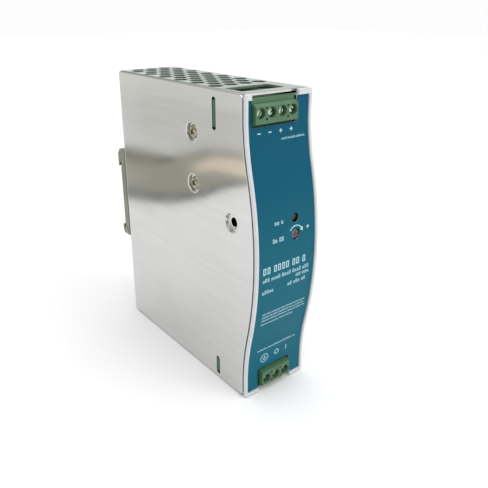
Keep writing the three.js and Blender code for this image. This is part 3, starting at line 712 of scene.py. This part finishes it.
def right_cover():
    """Right wall, perforated top and bottom, and flanges. The flat pattern is (along, y)."""
    x_flange, flange = LEFT + SHEET + GAP, 7.5
    panel = RIGHT - FOLD - (x_flange + FOLD)
    wall = HEIGHT - 2 * FOLD
    runs = [flange, FOLD, panel, FOLD, wall, FOLD, panel, FOLD, flange]
    place, bends = folding((x_flange, HEIGHT - FOLD - flange), (0, 1), runs)
    top_start, wall_start, low_start = bends[0][1], bends[1][1], bends[2][1]
    end = bends[3][1] + flange
    nose = FLAT_FRONT_Y + COVER_INSET
    flange_front, flange_back, nick = -25, 43, 0.4
    outline = [(0, flange_front), (flange - nick, flange_front), (flange, flange_front - nick)]
    outline.append((flange, nose))
    for i in range(FRONT_STEPS + 1):
        below = wall * i / FRONT_STEPS
        outline.append((wall_start + below, front_y(HEIGHT - FOLD - below, COVER_INSET)))
    outline += [(end - flange, nose), (end - flange, flange_front - nick)]
    outline += [(end - flange + nick, flange_front), (end, flange_front)]
    outline += [(end, flange_back), (end - flange, flange_back), (end - flange, CASE_BACK_Y)]
    outline += [(flange, CASE_BACK_Y), (flange, flange_back), (0, flange_back)]

    def top_at(x):
        return top_start + x - x_flange - FOLD

    def bottom_at(x):
        return low_start + RIGHT - FOLD - x

    openings = [rounded(rectangle(top_at(-12), top_at(8.5), -41, -30.4), 0.9),
                rounded(rectangle(bottom_at(8.6), bottom_at(-9), -41, -31), 0.9)]
    loops = [outline, *openings, *vent_holes(top_at), *vent_holes(bottom_at)]
    bm = plate(loops, SHEET, 0.12, steps=2, punched=True)
    crease(bm, 0, bend_creases(bends, 6))

    def at(s, y, w):
        x, z = place(s, w)
        return Vector((x, y, z))

    tab = block((-13, RIGHT - 0.6), (45.2, 46.2), (0.5, 14), 0.12, 0.2)
    # The walls of the vents and openings take the cut-edge finish with painted shade.
    piece("right_cover_sheet", merged(mapped(bm, at), tab), "case_metal",
          replaces=["right_cover"], edges="punched_edge_and_painted_shade")


# -------- front bezel, label and its print

WAVE_CUTS = [HEIGHT * i / 56 for i in range(1, 56)]


def on_front(loops, inset, thickness, front, back, steps=2):
    """A plate in (x, z) laid on the wavy front, its face set back by an inset."""
    bm = crease(plate(loops, thickness, front, back, steps), 1, WAVE_CUTS)
    return mapped(bm, lambda x, z, w: Vector((x, front_y(z, inset) + w, z)))


def bezel_skirt(outline):
    """A wall behind the bezel's face, from the wave back to one plane."""
    bm = crease(plate([outline], 1.0, 0.02, steps=1), 1, WAVE_CUTS)

    def at(x, z, w):
        start = front_y(z, BEZEL_EDGE - 0.3)
        return Vector((x, start + (SKIRT_BACK_Y - start) * w, z))

    return mapped(bm, at)


def seat_outline(side, low, high):
    """The label's shape, in (x, z), with a notch for each terminal block."""
    (left, right), (low_left, low_right) = TOP_NOTCH_X, BOTTOM_NOTCH_X
    return [(-side, low), (low_left, low), (low_left, BOTTOM_NOTCH_Z), (low_right, BOTTOM_NOTCH_Z),
            (low_right, low), (side, low), (side, high), (right, high), (right, TOP_NOTCH_Z),
            (left, TOP_NOTCH_Z), (left, high), (-side, high)]


def front_bezel():
    low, high = SEAT_Z
    skirt_low, skirt_high, wall = SHEET + 0.9, HEIGHT - SHEET - 0.9, 0.8
    halves = []
    for side, top_x, low_x in zip((-1, 1), TOP_NOTCH_X, BOTTOM_NOTCH_X):
        rim, seat = side * RIGHT, side * SEAT_HALF
        outline = [(rim, HEIGHT), (rim, 0), (low_x, 0), (low_x, low), (seat, low), (seat, high),
                   (top_x, high), (top_x, HEIGHT)]
        radii = [1.5, 1.5, 0.3, 0, 0, 0, 0, 0.3]
        halves.append(on_front([rounded(outline, radii, 6)], 0, BEZEL_EDGE, 0.45, 0.4, 4))
        outer, inner = side * (RIGHT - skirt_low), side * (RIGHT - skirt_low - wall)
        skirt = [(outer, skirt_low), (low_x, skirt_low), (low_x, skirt_low + wall),
                 (inner, skirt_low + wall), (inner, skirt_high - wall), (top_x, skirt_high - wall),
                 (top_x, skirt_high), (outer, skirt_high)]
        halves.append(bezel_skirt(rounded(skirt, 0.3, 3)))
    lap = 0.2
    web = seat_outline(SEAT_HALF + lap, low - lap, high + lap)
    holes = [circle(at[:2], at[2] + 0.35, 36) for at in (LED_AT, TRIMMER_AT)]
    panel = on_front([web, *holes], LABEL_RECESS, BEZEL_EDGE - LABEL_RECESS, 0.05, 0.1)
    piece("front_bezel_moulding", merged(*halves, panel), "bezel_plastic", replaces=["front_bezel"])


def front_label():
    outline = seat_outline(SEAT_HALF - 0.1, SEAT_Z[0] + 0.1, SEAT_Z[1] - 0.1)
    corners = [0.7, 0.2, 0.25, 0.25, 0.2, 0.7, 0.7, 0.2, 0.25, 0.25, 0.15, 0.15]
    holes = [circle(at[:2], at[2] + 0.05, 36) for at in (LED_AT, TRIMMER_AT)]
    bm = on_front([rounded(outline, corners, 4), *holes], FILM_FACE, 0.18, 0.03, 0.02, 1)
    piece("front_label_film", bm, "label_film", replaces=["front_label"])


def stroke(points, width):
    """A line of constant width as an outline, through points."""
    left, right = [], []
    for i, point in enumerate(points):
        here = Vector(point)
        before = Vector(points[max(i - 1, 0)])
        after = Vector(points[min(i + 1, len(points) - 1)])
        along = (after - before).normalized()
        across = Vector((-along.y, along.x)) * width / 2
        left.append(tuple(here + across))
        right.append(tuple(here - across))
    return left + right[::-1]


def words(x0, x1, z, height, longest, seed):
    """Groups of small open boxes, in place of a line of print. Each box is an outline and its hole."""
    draw = random.Random(seed)
    line, wide = height * 0.16, height * 0.52
    marks = []
    x = x0
    while x < x1 - height:
        end = min(x + longest * (0.5 + 0.5 * draw.random()), x1)
        while x < end - wide:
            low = z - height / 2
            high = z + height * (draw.choice((0.2, 0.5, 0.5)) if height < 2 else 0.5)
            marks.append([rectangle(x, x + wide, low, high),
                          rectangle(x + line, x + wide - line, low + line, high - line)])
            x += wide + line * 1.4
        x += height * 0.45
    return marks


def arc(centre, radius, width, start, sweep, count=28):
    """An arc of constant width, as an outline."""
    angles = [start + sweep * i / count for i in range(count + 1)]
    return stroke([(centre[0] + radius * math.cos(a), centre[1] + radius * math.sin(a)) for a in angles],
                  width)


def ring(centre, radius, width):
    """A full ring, as the outlines of its two halves."""
    return [arc(centre, radius, width, start, math.pi) for start in (0.0, math.pi)]


def sign(x, z, size, line, plus=True):
    """A plus sign as a bar and two stubs, or the bar alone."""
    stub, offset = (size - line) / 2, (size + line) / 4
    stubs = [centred(x, z + offset, line, stub), centred(x, z - offset, line, stub)]
    return [centred(x, z, size, line), *(stubs if plus else ())]


# From x, to x, middle z, height, longest word and seed of each line of boxes.
PRINT_LINES = (
    (0.4, 12.8, 107.7, 0.75, 5.4, 1),
    (-6.8, -0.3, 77.4, 1.7, 3.4, 2),
    (-8, -0.3, 70.6, 1.7, 4.2, 3),
    (-12.7, 11.2, 59.3, 2.8, 8.4, 8),
    (-12.7, 12.6, 55.4, 1.6, 6.6, 4),
    (4.6, 12.6, 52.9, 1.3, 4.4, 5),
    (-12.7, -4.5, 50.2, 1.6, 7, 6),
    (0.5, 12.4, 50.2, 1.6, 4.2, 7),
    (-11.3, 12.3, 39.5, 0.7, 5.6, 10),
    (-11.3, 11.4, 38.0, 0.7, 5.6, 11),
    (-11.3, 12.0, 36.5, 0.7, 5.6, 12),
    (-11.3, 6.0, 34.6, 0.7, 5.6, 13),
    (-10.5, 10.7, 20.5, 0.8, 6.0, 20),
)


def label_print():
    """Generic marks in place of the printed words: rows of open boxes, signs of the poles and the
    trimmer's turning arrow."""
    lines = [box for line in PRINT_LINES for box in words(*line)]
    marks = []
    for x, plus in ((-10.2, False), (-5, False), (0.2, True), (5.4, True)):
        marks += sign(x, 110.8, 1.5, 0.42, plus)
    earth_x, earth_z = -6.3, 15.6
    marks += ring((earth_x, earth_z), 1.95, 0.32)
    marks.append(centred(earth_x, earth_z + 0.8, 0.28, 1.1))
    for k, width in enumerate((2.3, 1.5, 0.7)):
        marks.append(centred(earth_x, earth_z + 0.12 - 0.55 * k, width, 0.26))
    marks += ring((0.4, 16), 1.05, 0.42)
    marks.append(centred(5.75, 16.1, 0.4, 2.4))
    x, z = TRIMMER_AT[0] - PRINT_SHIFT, TRIMMER_AT[1]
    tip = math.radians(35)
    marks.append(arc((x, z), 3.6, 0.42, tip, math.radians(110), 20))
    marks.append([(x + r * math.cos(a), z + r * math.sin(a))
                  for r, a in ((2.7, tip), (4.5, tip), (3.6, tip - 0.42))])
    marks += sign(10.2, 72.4, 1.5, 0.4)
    lines += [[outline] for outline in marks]
    shifted = [[[(x + PRINT_SHIFT, z) for x, z in outline] for outline in loops] for loops in lines]
    parts = [on_front(loops, FILM_FACE - 0.02, 0.03, 0, 0) for loops in shifted]
    piece("front_label_print", merged(*parts), "label_print")


# -------- terminals


def pole_positions(count):
    return [(i - (count - 1) / 2) * POLE_PITCH for i in range(count)]


def terminal_block(prefix, count, centre, facing, wire_side, key_holes):
    """A moulded block with a screw well, a chamber and a wire entry for each pole."""
    half = count * POLE_PITCH / 2
    profile = [(BLOCK_FRONT_Y, -3.8), (BLOCK_FRONT_Y, 2.4), (-47.0, 3.4), (-46.95, 2.9), (-46.6, 2.9),
               (-46.6, wire_side), (BLOCK_BACK_Y, wire_side), (BLOCK_BACK_Y, -5.3), (-45.9, -5.3),
               (-46.3, -4.4)]
    radii = [0.25, 0.3, 0.12, 0.05, 0.05, 0.4, 0.3, 0.3, 0.2, 0.1]
    body = extruded(rounded(profile, radii, 3), (-half, half), 0.2)
    cutters = []
    for x in pole_positions(count):
        well = [(0, -50), (2.2, -50), (2.2, -49.08), (1.95, -48.82), (1.95, -46.4), (1.45, -46.2),
                (1.45, -44.2), (0, -44.2)]
        chamber = block((x - 2.15, x + 2.15), (-45, -31.6), (-3.7, wire_side - 0.9), 0.1)
        funnel = [(1.9, -1.0), (1.9, -0.45), (2.15, 0.05), (2.15, 0.6)]
        tail = block((x - 0.8, x + 0.8), (-32, -29), (-3.45, -2.5), 0.05)
        parts = [lathe(well, "y", (x, 0), 40), wire_entry(x, funnel, wire_side), tail]
        cutters.append(combined(chamber, parts, "UNION"))
    for x in key_holes:
        for z in (-2.2, 1.7):
            cutters.append(lathe([(0, -50), (0.6, -50), (0.6, -49.02), (0.45, -48.88), (0.45, -47.9),
                                  (0.0, -47.7)], "y", (x, z), 20))
    bm = combined(body, cutters)
    turn = Matrix.Rotation(math.pi if facing < 0 else 0, 4, "Y")
    moved(bm, Matrix.Translation((centre[0], 0, centre[1])) @ turn)
    piece(f"{prefix}_block_moulding", bm, "terminal_plastic", replaces=[f"{prefix}_terminal_block"])


def wire_entry(x, funnel, wire_side):
    """The square hole that a wire goes in by, widened at its mouth."""
    rows = []
    for half, height in funnel:
        outline = rounded(rectangle(-half, half, -half * 1.28, half * 1.28), 0.35, 3)
        rows.append([(x + u, WIRE_Y + v, wire_side + height) for u, v in outline])
    return lofted(rows)


def terminal_screw(prefix, number, x, z, slot_angle):
    """Slotted cheese head over a threaded shank."""
    profile = [(0, -47.95), (0.7, -47.93), (1.25, -47.84), (1.58, -47.66), (1.74, -47.45), (1.8, -47.2),
               (1.8, -46.72), (1.7, -46.6), (1.3, -46.6), (1.22, -46.3),
               *thread(1.02, 1.25, -46.2, -39.6, 0.07), (1.0, -39.3), (0.9, -38.92), (0, -38.9)]
    head = lathe(profile, "y", (0, 0), 32)
    slot = block((-3, 3), (-49, -46.95), (-0.42, 0.42), 0.04)
    bm = combined(head, [slot])
    turn = Matrix.Rotation(-math.radians(slot_angle), 4, "Y")
    moved(bm, Matrix.Translation((x, 0, z)) @ turn)
    # The heads take steel with painted shade and a painted green reflection of their wells.
    piece(f"{prefix}_slotted_screw_{number}", bm, "screw_steel", f"{prefix}_screw_{number}",
          [f"{prefix}_terminal_screw_{number}"])


def terminals(prefix, count, centre, facing, wire_side, key_holes, slot_angles):
    terminal_block(prefix, count, centre, facing, wire_side, key_holes)
    for number, (offset, angle) in enumerate(zip(pole_positions(count), slot_angles), 1):
        terminal_screw(prefix, number, centre[0] + facing * offset, centre[1], angle)
        cage, bar = f"{prefix}_clamp_cage_{number}", f"{prefix}_contact_bar_{number}"
        piece(f"{prefix}_cage_{number}_plated", refined(cage, 0.12), "plated_steel",
              body=f"{prefix}_cage_{number}", replaces=[cage])
        piece(f"{prefix}_bar_{number}_brass", refined(bar, 0.08), "contact_brass", replaces=[bar])


# -------- rail clip


def rail_clip():
    rounded_copy("rail_bracket", "pressing", 0.22, "clip_steel")
    rounded_copy("rail_latch", "pressing", 0.2, "clip_steel", "latch")
    y, start, end, turns, wire = 50.4, 51.75, 63.0, 6, 0.22
    points = []
    steps = turns * 24
    for i in range(steps + 1):
        a = 2 * math.pi * i / 24
        z = start + wire + (end - start - 2 * wire) * i / steps
        points.append(Vector((math.cos(a), y + math.sin(a), z)))
    spring = piece("latch_spring_wire", tube(points, wire, 10), "spring_steel", replaces=["latch_spring"])
    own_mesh(spring)
    guide = [(0, 47.75), (1.3, 47.75), (1.4, 47.85), (1.4, 49.15), (1.9, 49.15), (1.9, 51.1), (3.05, 51.1),
             (3.2, 51.22), (3.2, 51.45), (2.8, 51.72), (1.9, 51.86), (0, 51.9)]
    turned_piece("latch_guide_rivet_turned", guide, "y", (0, 68.5), "plated_steel", ["latch_guide_rivet"])
    rivet = [(0, 45.6), (1.6, 45.62), (2.1, 45.8), (2.3, 46.1), (2.3, 46.35), (1.4, 46.35), (1.4, 49.15),
             (2.2, 49.15), (2.2, 49.4), (1.9, 49.75), (1.3, 49.95), (0.7, 49.9), (0.5, 49.6), (0, 49.55)]
    for number, at in enumerate(RIVETS_AT, 1):
        node = f"bracket_rivet_{number}"
        turned_piece(f"{node}_turned", rivet, "y", at, "plated_steel", [node])


# -------- lamp and trimmer


def lamp_and_trimmer():
    x, z, _ = LED_AT
    dome = [(0, -33.5), (0.6, -33.42), (1.1, -33.1), (1.42, -32.6), (1.5, -32.1), (1.5, -30.6), (1.9, -30.6),
            (1.9, -29.62), (0, -29.6)]
    turned_piece("status_led_lens", dome, "y", (x, z), "lamp_lens", ["status_led"])
    pipe = [(0, -52.2), (0.9, -52.16), (1.35, -52.0), (1.55, -51.7), (1.55, -34.0), (1.4, -33.8), (0, -33.8)]
    turned_piece("led_pipe_rod", pipe, "y", (x, z), "light_pipe", ["led_light_pipe"])
    rounded_copy("trimmer_riser", "moulding", 0.2, "guide_plastic")
    piece("trimmer_body_moulding", refined("voltage_trimmer_body", 0.2), "trimmer_plastic",
          replaces=["voltage_trimmer_body"])
    x, z, _ = TRIMMER_AT
    rotor = [(0, -52.9), (1.65, -52.9), (1.82, -52.82), (1.9, -52.65), (1.9, -51.6), (1.05, -51.6),
             (1.05, -49.6), (0.95, -49.5), (0, -49.5)]
    cross = [block((x - 1.3, x + 1.3), (-54, -52.3), (z - 0.3, z + 0.3), 0.03),
             block((x - 0.3, x + 0.3), (-54, -52.3), (z - 1.3, z + 1.3), 0.03)]
    piece("trimmer_rotor_moulding", combined(lathe(rotor, "y", (x, z)), cross), "rotor_plastic",
          body="trimmer_rotor", replaces=["voltage_trimmer_rotor"])


# -------- electronics


def heatsink_screw(prefix, y, z):
    """Pan head with a cross recess, in its dimple."""
    head = [(0, -15.9), (0.9, -15.88), (1.7, -15.78), (2.3, -15.52), (2.65, -15.16), (2.75, -14.85),
            (2.75, -14.62), (1.4, -14.6), *thread(1.2, 1.4, -14.4, -11.7, 0.06), (1.1, -11.2), (0, -11.0)]
    recess = []
    for turn in (0, 90):
        rows = []
        for along, half_long, half_wide in ((-16.1, 1.65, 0.34), (-15.4, 1.3, 0.3), (-14.9, 0.5, 0.26)):
            outline = rectangle(-half_wide, half_wide, -half_long, half_long)
            rows.append([(along, u, v) for u, v in outline])
        recess.append(moved(lofted(rows), Matrix.Rotation(math.radians(turn + 25), 4, "X")))
    bm = combined(lathe(head, "x", (0, 0), 40), recess)
    moved(bm, Matrix.Translation((0, y, z)))
    piece(f"{prefix}_cross_screw", bm, "cross_screw_steel",
          replaces=[f"{prefix}_heatsink_screw"])


def capacitor(name, axis, centre, radius, span):
    """A sleeved can: crimped waist at its foot, scored vent on its top."""
    low, high = span
    bore, inner = radius - 1.2, radius - 1.1
    sleeve = [(bore, low + 0.02), (radius - 0.35, low + 0.04), (radius - 0.08, low + 0.25),
              (radius, low + 0.7), (radius, high - 2.6), (radius - 0.45, high - 2.1),
              (radius - 0.45, high - 1.7), (radius, high - 1.2), (radius - 0.05, high - 0.3),
              (radius - 0.3, high - 0.05), (bore, high - 0.03), (bore, high - 1.0), (bore, low + 1.0)]
    shell = lathe(sleeve, axis, centre, 40, closed=True)
    piece(f"{name}_sleeve", shell, "capacitor_sleeve", replaces=[name])
    top = lathe([(0, low + 0.12), (inner, low + 0.12), (inner, low + 0.6), (0, low + 0.6)], axis, centre, 36)
    grooves = []
    for spin in (0, math.pi / 3, 2 * math.pi / 3):
        bar = plate([centred(0, 0, 2 * (radius - 2), 0.32)], 0.3, 0)
        grooves.append(mapped(bar, lambda u, v, w: turned(axis, centre, math.hypot(u, v),
                                                          math.atan2(v, u) + spin, low + 0.05 + w * 0.6)))
    piece(f"{name}_can_top", combined(top, grooves), "can_aluminium")
    bung = [(0, high - 0.6), (inner, high - 0.6), (inner, high - 0.1), (0, high - 0.1)]
    turned_piece(f"{name}_bung", bung, axis, centre, "black_epoxy", segments=36)


def choke(name, y, z, ring_radius, tube_radius, base_radius, turns):
    """A toroid wound with wire in two halves, on a moulded base."""
    centre = Vector((BOARD_FACE - tube_radius - 1.5, y, z))
    core_radius = tube_radius - 0.75
    wire, gap, per_turn = 0.36, 0.22, 16

    def around(a, b, reach):
        """The point at angle a along the ring and angle b round its section."""
        out = Vector((0, math.cos(a), math.sin(a)))
        return centre + out * (ring_radius + reach * math.cos(b)) + Vector((reach * math.sin(b), 0, 0))

    core = [[around(2 * math.pi * i / 48, 2 * math.pi * k / 16, core_radius) for k in range(16)]
            for i in range(48)]
    piece(f"{name}_core", lofted(core, closed=True), "ferrite")
    strands = []
    steps = turns * per_turn
    for half in range(2):
        strand = [around(math.pi * half + gap + (math.pi - 2 * gap) * i / steps,
                         2 * math.pi * i / per_turn, core_radius + wire) for i in range(steps + 1)]
        strands.append(tube(strand, wire, 8))
    piece(f"{name}_winding", merged(*strands), "copper_winding", replaces=[name])
    foot = BOARD_FACE - 1.8
    base = [(0, BOARD_FACE), (base_radius, BOARD_FACE), (base_radius, foot + 0.3), (base_radius - 0.3, foot),
            (0, foot)]
    turned_piece(f"{name}_base", base, "x", (y, z), "black_epoxy", segments=40)


def electronics():
    for prefix, (y, z, _) in zip(("output", "switch"), DIMPLES):
        heatsink_screw(prefix, y, z)
        rounded_copy(f"{prefix}_heatsink", "pressing", 0.15, "heatsink_metal")
    rounded_copy("output_rectifier", "package", 0.12, "black_epoxy")
    rounded_copy("switching_transistor", "package", 0.12, "black_epoxy")
    rounded_copy("transformer_core", "halves", 0.3, "ferrite")
    rounded_copy("transformer_winding", "taped", 0.4, "winding_tape")
    capacitor("bulk_capacitor", "y", (-0.4, 42), 9, (3, 36))
    capacitor("output_capacitor_1", "x", (10, 104), 5, (-11, BOARD_FACE))
    capacitor("output_capacitor_2", "x", (21.5, 104), 5, (-11, BOARD_FACE))
    rounded_copy("suppression_capacitor", "box", 0.5, "film_capacitor", steps=3)
    choke("common_mode_choke", 22, 18, 7.5, 3.2, 8.5, 15)
    choke("output_inductor", 35, 104, 5, 2.4, 6, 11)
    rounded_copy("bridge_rectifier", "package", 0.35, "black_epoxy")
    fuse = [(0, 12), (2.2, 12.02), (2.55, 12.25), (2.6, 12.7), (2.6, 16), (2.45, 16.1), (2.45, 28.9),
            (2.6, 29), (2.6, 32.3), (2.55, 32.75), (2.2, 32.98), (0, 33)]
    turned_piece("input_fuse_body", fuse, "z", (5.5, -21), "fuse_ceramic", ["input_fuse"])
    disc = [(0, -13), (3.4, -12.95), (4.6, -12.6), (5, -11.8), (5, -10.2), (4.6, -9.4), (3.4, -9.05),
            (0, -9)]
    turned_piece("inrush_thermistor_disc", disc, "y", (3.8, 46), "thermistor", ["inrush_thermistor"])
    rounded_copy("controller_chip", "package", 0.2, "black_epoxy")
    rounded_copy("board_edge_guide", "moulding", 0.25, "guide_plastic")
    rounded_copy("main_board", "laminate", 0.08, "circuit_board")
    rounded_copy("front_board", "laminate", 0.08, "circuit_board")
    rounded_copy("insulation_sheet", "film", 0.08, "insulation_film")


# -------- stage, light and camera

CAMERA_AT = (-134.4, -195.0, 153.4)
CAMERA_HEADING, CAMERA_DIP, CAMERA_ROLL = 39.2, 19.63, 0.17  # degrees to the right, down and over
CAMERA_LENS, CAMERA_SHIFT = 40.8, (-0.01045, -0.08238)
WORLD_STRENGTH = 1.7
BACKDROP = (0.98, 0.98, 0.98, 1)

# Lines on the left wall, in (y, z), between which the floor's cards show there.
BAND_BOTTOM = ((60, 60), (45, 63.5), (20, 68), (0, 72.5), (-20, 80), (-35, 88), (-60, 97))
BAND_TOP = ((60, 88), (20, 91), (0, 93.5), (-25, 103), (-60, 106.5))
UPPER_TOP = ((60, 119), (-60, 119))
# Each card's name, height over the floor, tone, lower line and upper line.
SIDE_CARDS = (
    ("band_card", 1.0, (0.37, 0.365, 0.31), BAND_BOTTOM, BAND_TOP),
    ("band_low_edge", 1.5, (0.17, 0.165, 0.17), BAND_BOTTOM,
     ((60, 65), (45, 69), (20, 72.5), (0, 77), (-20, 83.5), (-35, 90.5), (-60, 99))),
    ("band_back_edge", 1.5, (0.17, 0.17, 0.13), ((60, 82), (30, 83.5), (10, 88), (2, 91)),
     ((60, 88.5), (30, 90), (10, 91.5), (2, 92.5))),
    ("band_front_streak", 2.0, (0.98, 0.80, 0.66), ((-14, 90), (-30, 94), (-60, 98)),
     ((-14, 93), (-30, 100), (-60, 104))),
    ("upper_card", 0.7, (0.70, 0.69, 0.67), BAND_TOP, UPPER_TOP),
    ("top_card", 0.7, (0.83, 0.82, 0.79), UPPER_TOP, ((60, 135), (-60, 135))),
)


def staged(name, corners, material):
    """A flat face of the surroundings, which is not part of the object."""
    mesh = bpy.data.meshes.new(name)
    mesh.from_pydata([tuple(c * MM for c in corner) for corner in corners], [], [tuple(range(len(corners)))])
    mesh.materials.append(material)
    shape = placed(name, mesh)
    return shape


def area_light(name, place, target, side, power):
    data = bpy.data.lights.new(name, "AREA")
    data.shape = "RECTANGLE"
    data.size = data.size_y = side * MM
    data.energy = power
    light = placed(name, data)
    light.location = Vector(place) * MM
    light.rotation_euler = (Vector(target) - Vector(place)).to_track_quat("-Z", "Y").to_euler()


def seen_in_left_wall(y, z, height):
    """The point of the floor that the camera sees by way of the left wall's point (y, z)."""
    mirrored_x = 2 * LEFT - CAMERA_AT[0]
    reach = (z - height) / (CAMERA_AT[2] - z)
    return (LEFT + reach * (LEFT - mirrored_x), y + reach * (y - CAMERA_AT[1]), height)


def overhead_world():
    """A pale horizon, a darker ring above it and a bright ceiling. The camera itself sees a plain
    backdrop instead."""
    n = Nodes(bpy.data.worlds.new("studio"), "Generated")
    sky = n.ramp(n.new("SeparateXYZ", Vector=n.place).outputs["Z"], [
        (0.0, (0.62, 0.62, 0.62)), (0.04, (0.62, 0.62, 0.62)), (0.11, (0.45, 0.48, 0.46)),
        (0.24, (0.23, 0.25, 0.24)), (0.5, (0.22, 0.22, 0.22)), (0.72, (0.7, 0.7, 0.7)), (0.88, (1, 1, 1))])
    lit = n.feed(n.tree.nodes["Background"], Color=sky, Strength=WORLD_STRENGTH)
    backdrop = n.new("Background", Color=BACKDROP)
    choice = n.new("MixShader", Fac=n.new("LightPath").outputs["Is Camera Ray"])
    n.tree.links.new(lit.outputs["Background"], choice.inputs[1])
    n.tree.links.new(backdrop.outputs["Background"], choice.inputs[2])
    n.feed(n.tree.nodes["World Output"], Surface=choice.outputs["Shader"])
    return n.owner


def reflected_card(name, corners, tone):
    """A card lying over the floor that only shows in reflections."""
    card = staged(name, corners, finish(name, tone, (0.8, 0.9), vary=0.14, patch=9, specular=0.05))
    card.visible_camera = False
    card.visible_diffuse = False
    card.visible_shadow = False
    card.visible_transmission = False


def studio():
    floor = finish("studio_floor", (0.96, 0.96, 0.96), (0.7, 0.8), vary=0.006, patch=6, grain=400,
                   specular=0.2)
    reach = 3000
    staged("floor", [(u, v, 0) for u, v in rectangle(-reach, reach, -reach, reach)], floor)
    for name, height, tone, low, high in SIDE_CARDS:
        corners = [seen_in_left_wall(y, z, height) for y, z in (*low, *high[::-1])]
        reflected_card(name, corners, tone)
    bpy.context.scene.world = overhead_world()
    area_light("key", (260, -620, 640), (0, 0, 60), 420, 1.6)


def camera():
    data = bpy.data.cameras.new("camera")
    data.sensor_width = 36
    data.lens = CAMERA_LENS
    data.shift_x, data.shift_y = CAMERA_SHIFT
    data.clip_start = 0.01
    turn = Matrix.Rotation(math.radians(-CAMERA_HEADING), 4, "Z")
    turn = turn @ Matrix.Rotation(math.radians(90 - CAMERA_DIP), 4, "X")
    turn = turn @ Matrix.Rotation(math.radians(CAMERA_ROLL), 4, "Z")
    view = placed("camera", data)
    view.matrix_world = Matrix.Translation(Vector(CAMERA_AT) * MM) @ turn
    bpy.context.scene.camera = view
    bpy.context.scene.view_settings.view_transform = "Standard"


# -------- the whole object

camera()
studio()
left_cover()
right_cover()
front_bezel()
front_label()
label_print()
terminals("output", 4, OUTPUT_CENTRE, 1, 5.3, (-POLE_PITCH, POLE_PITCH), (62, 28, 80, -48))
terminals("input", 3, INPUT_CENTRE, -1, 3.7, (-POLE_PITCH / 2, POLE_PITCH / 2), (35, 15, 50))
lamp_and_trimmer()
rail_clip()
electronics()
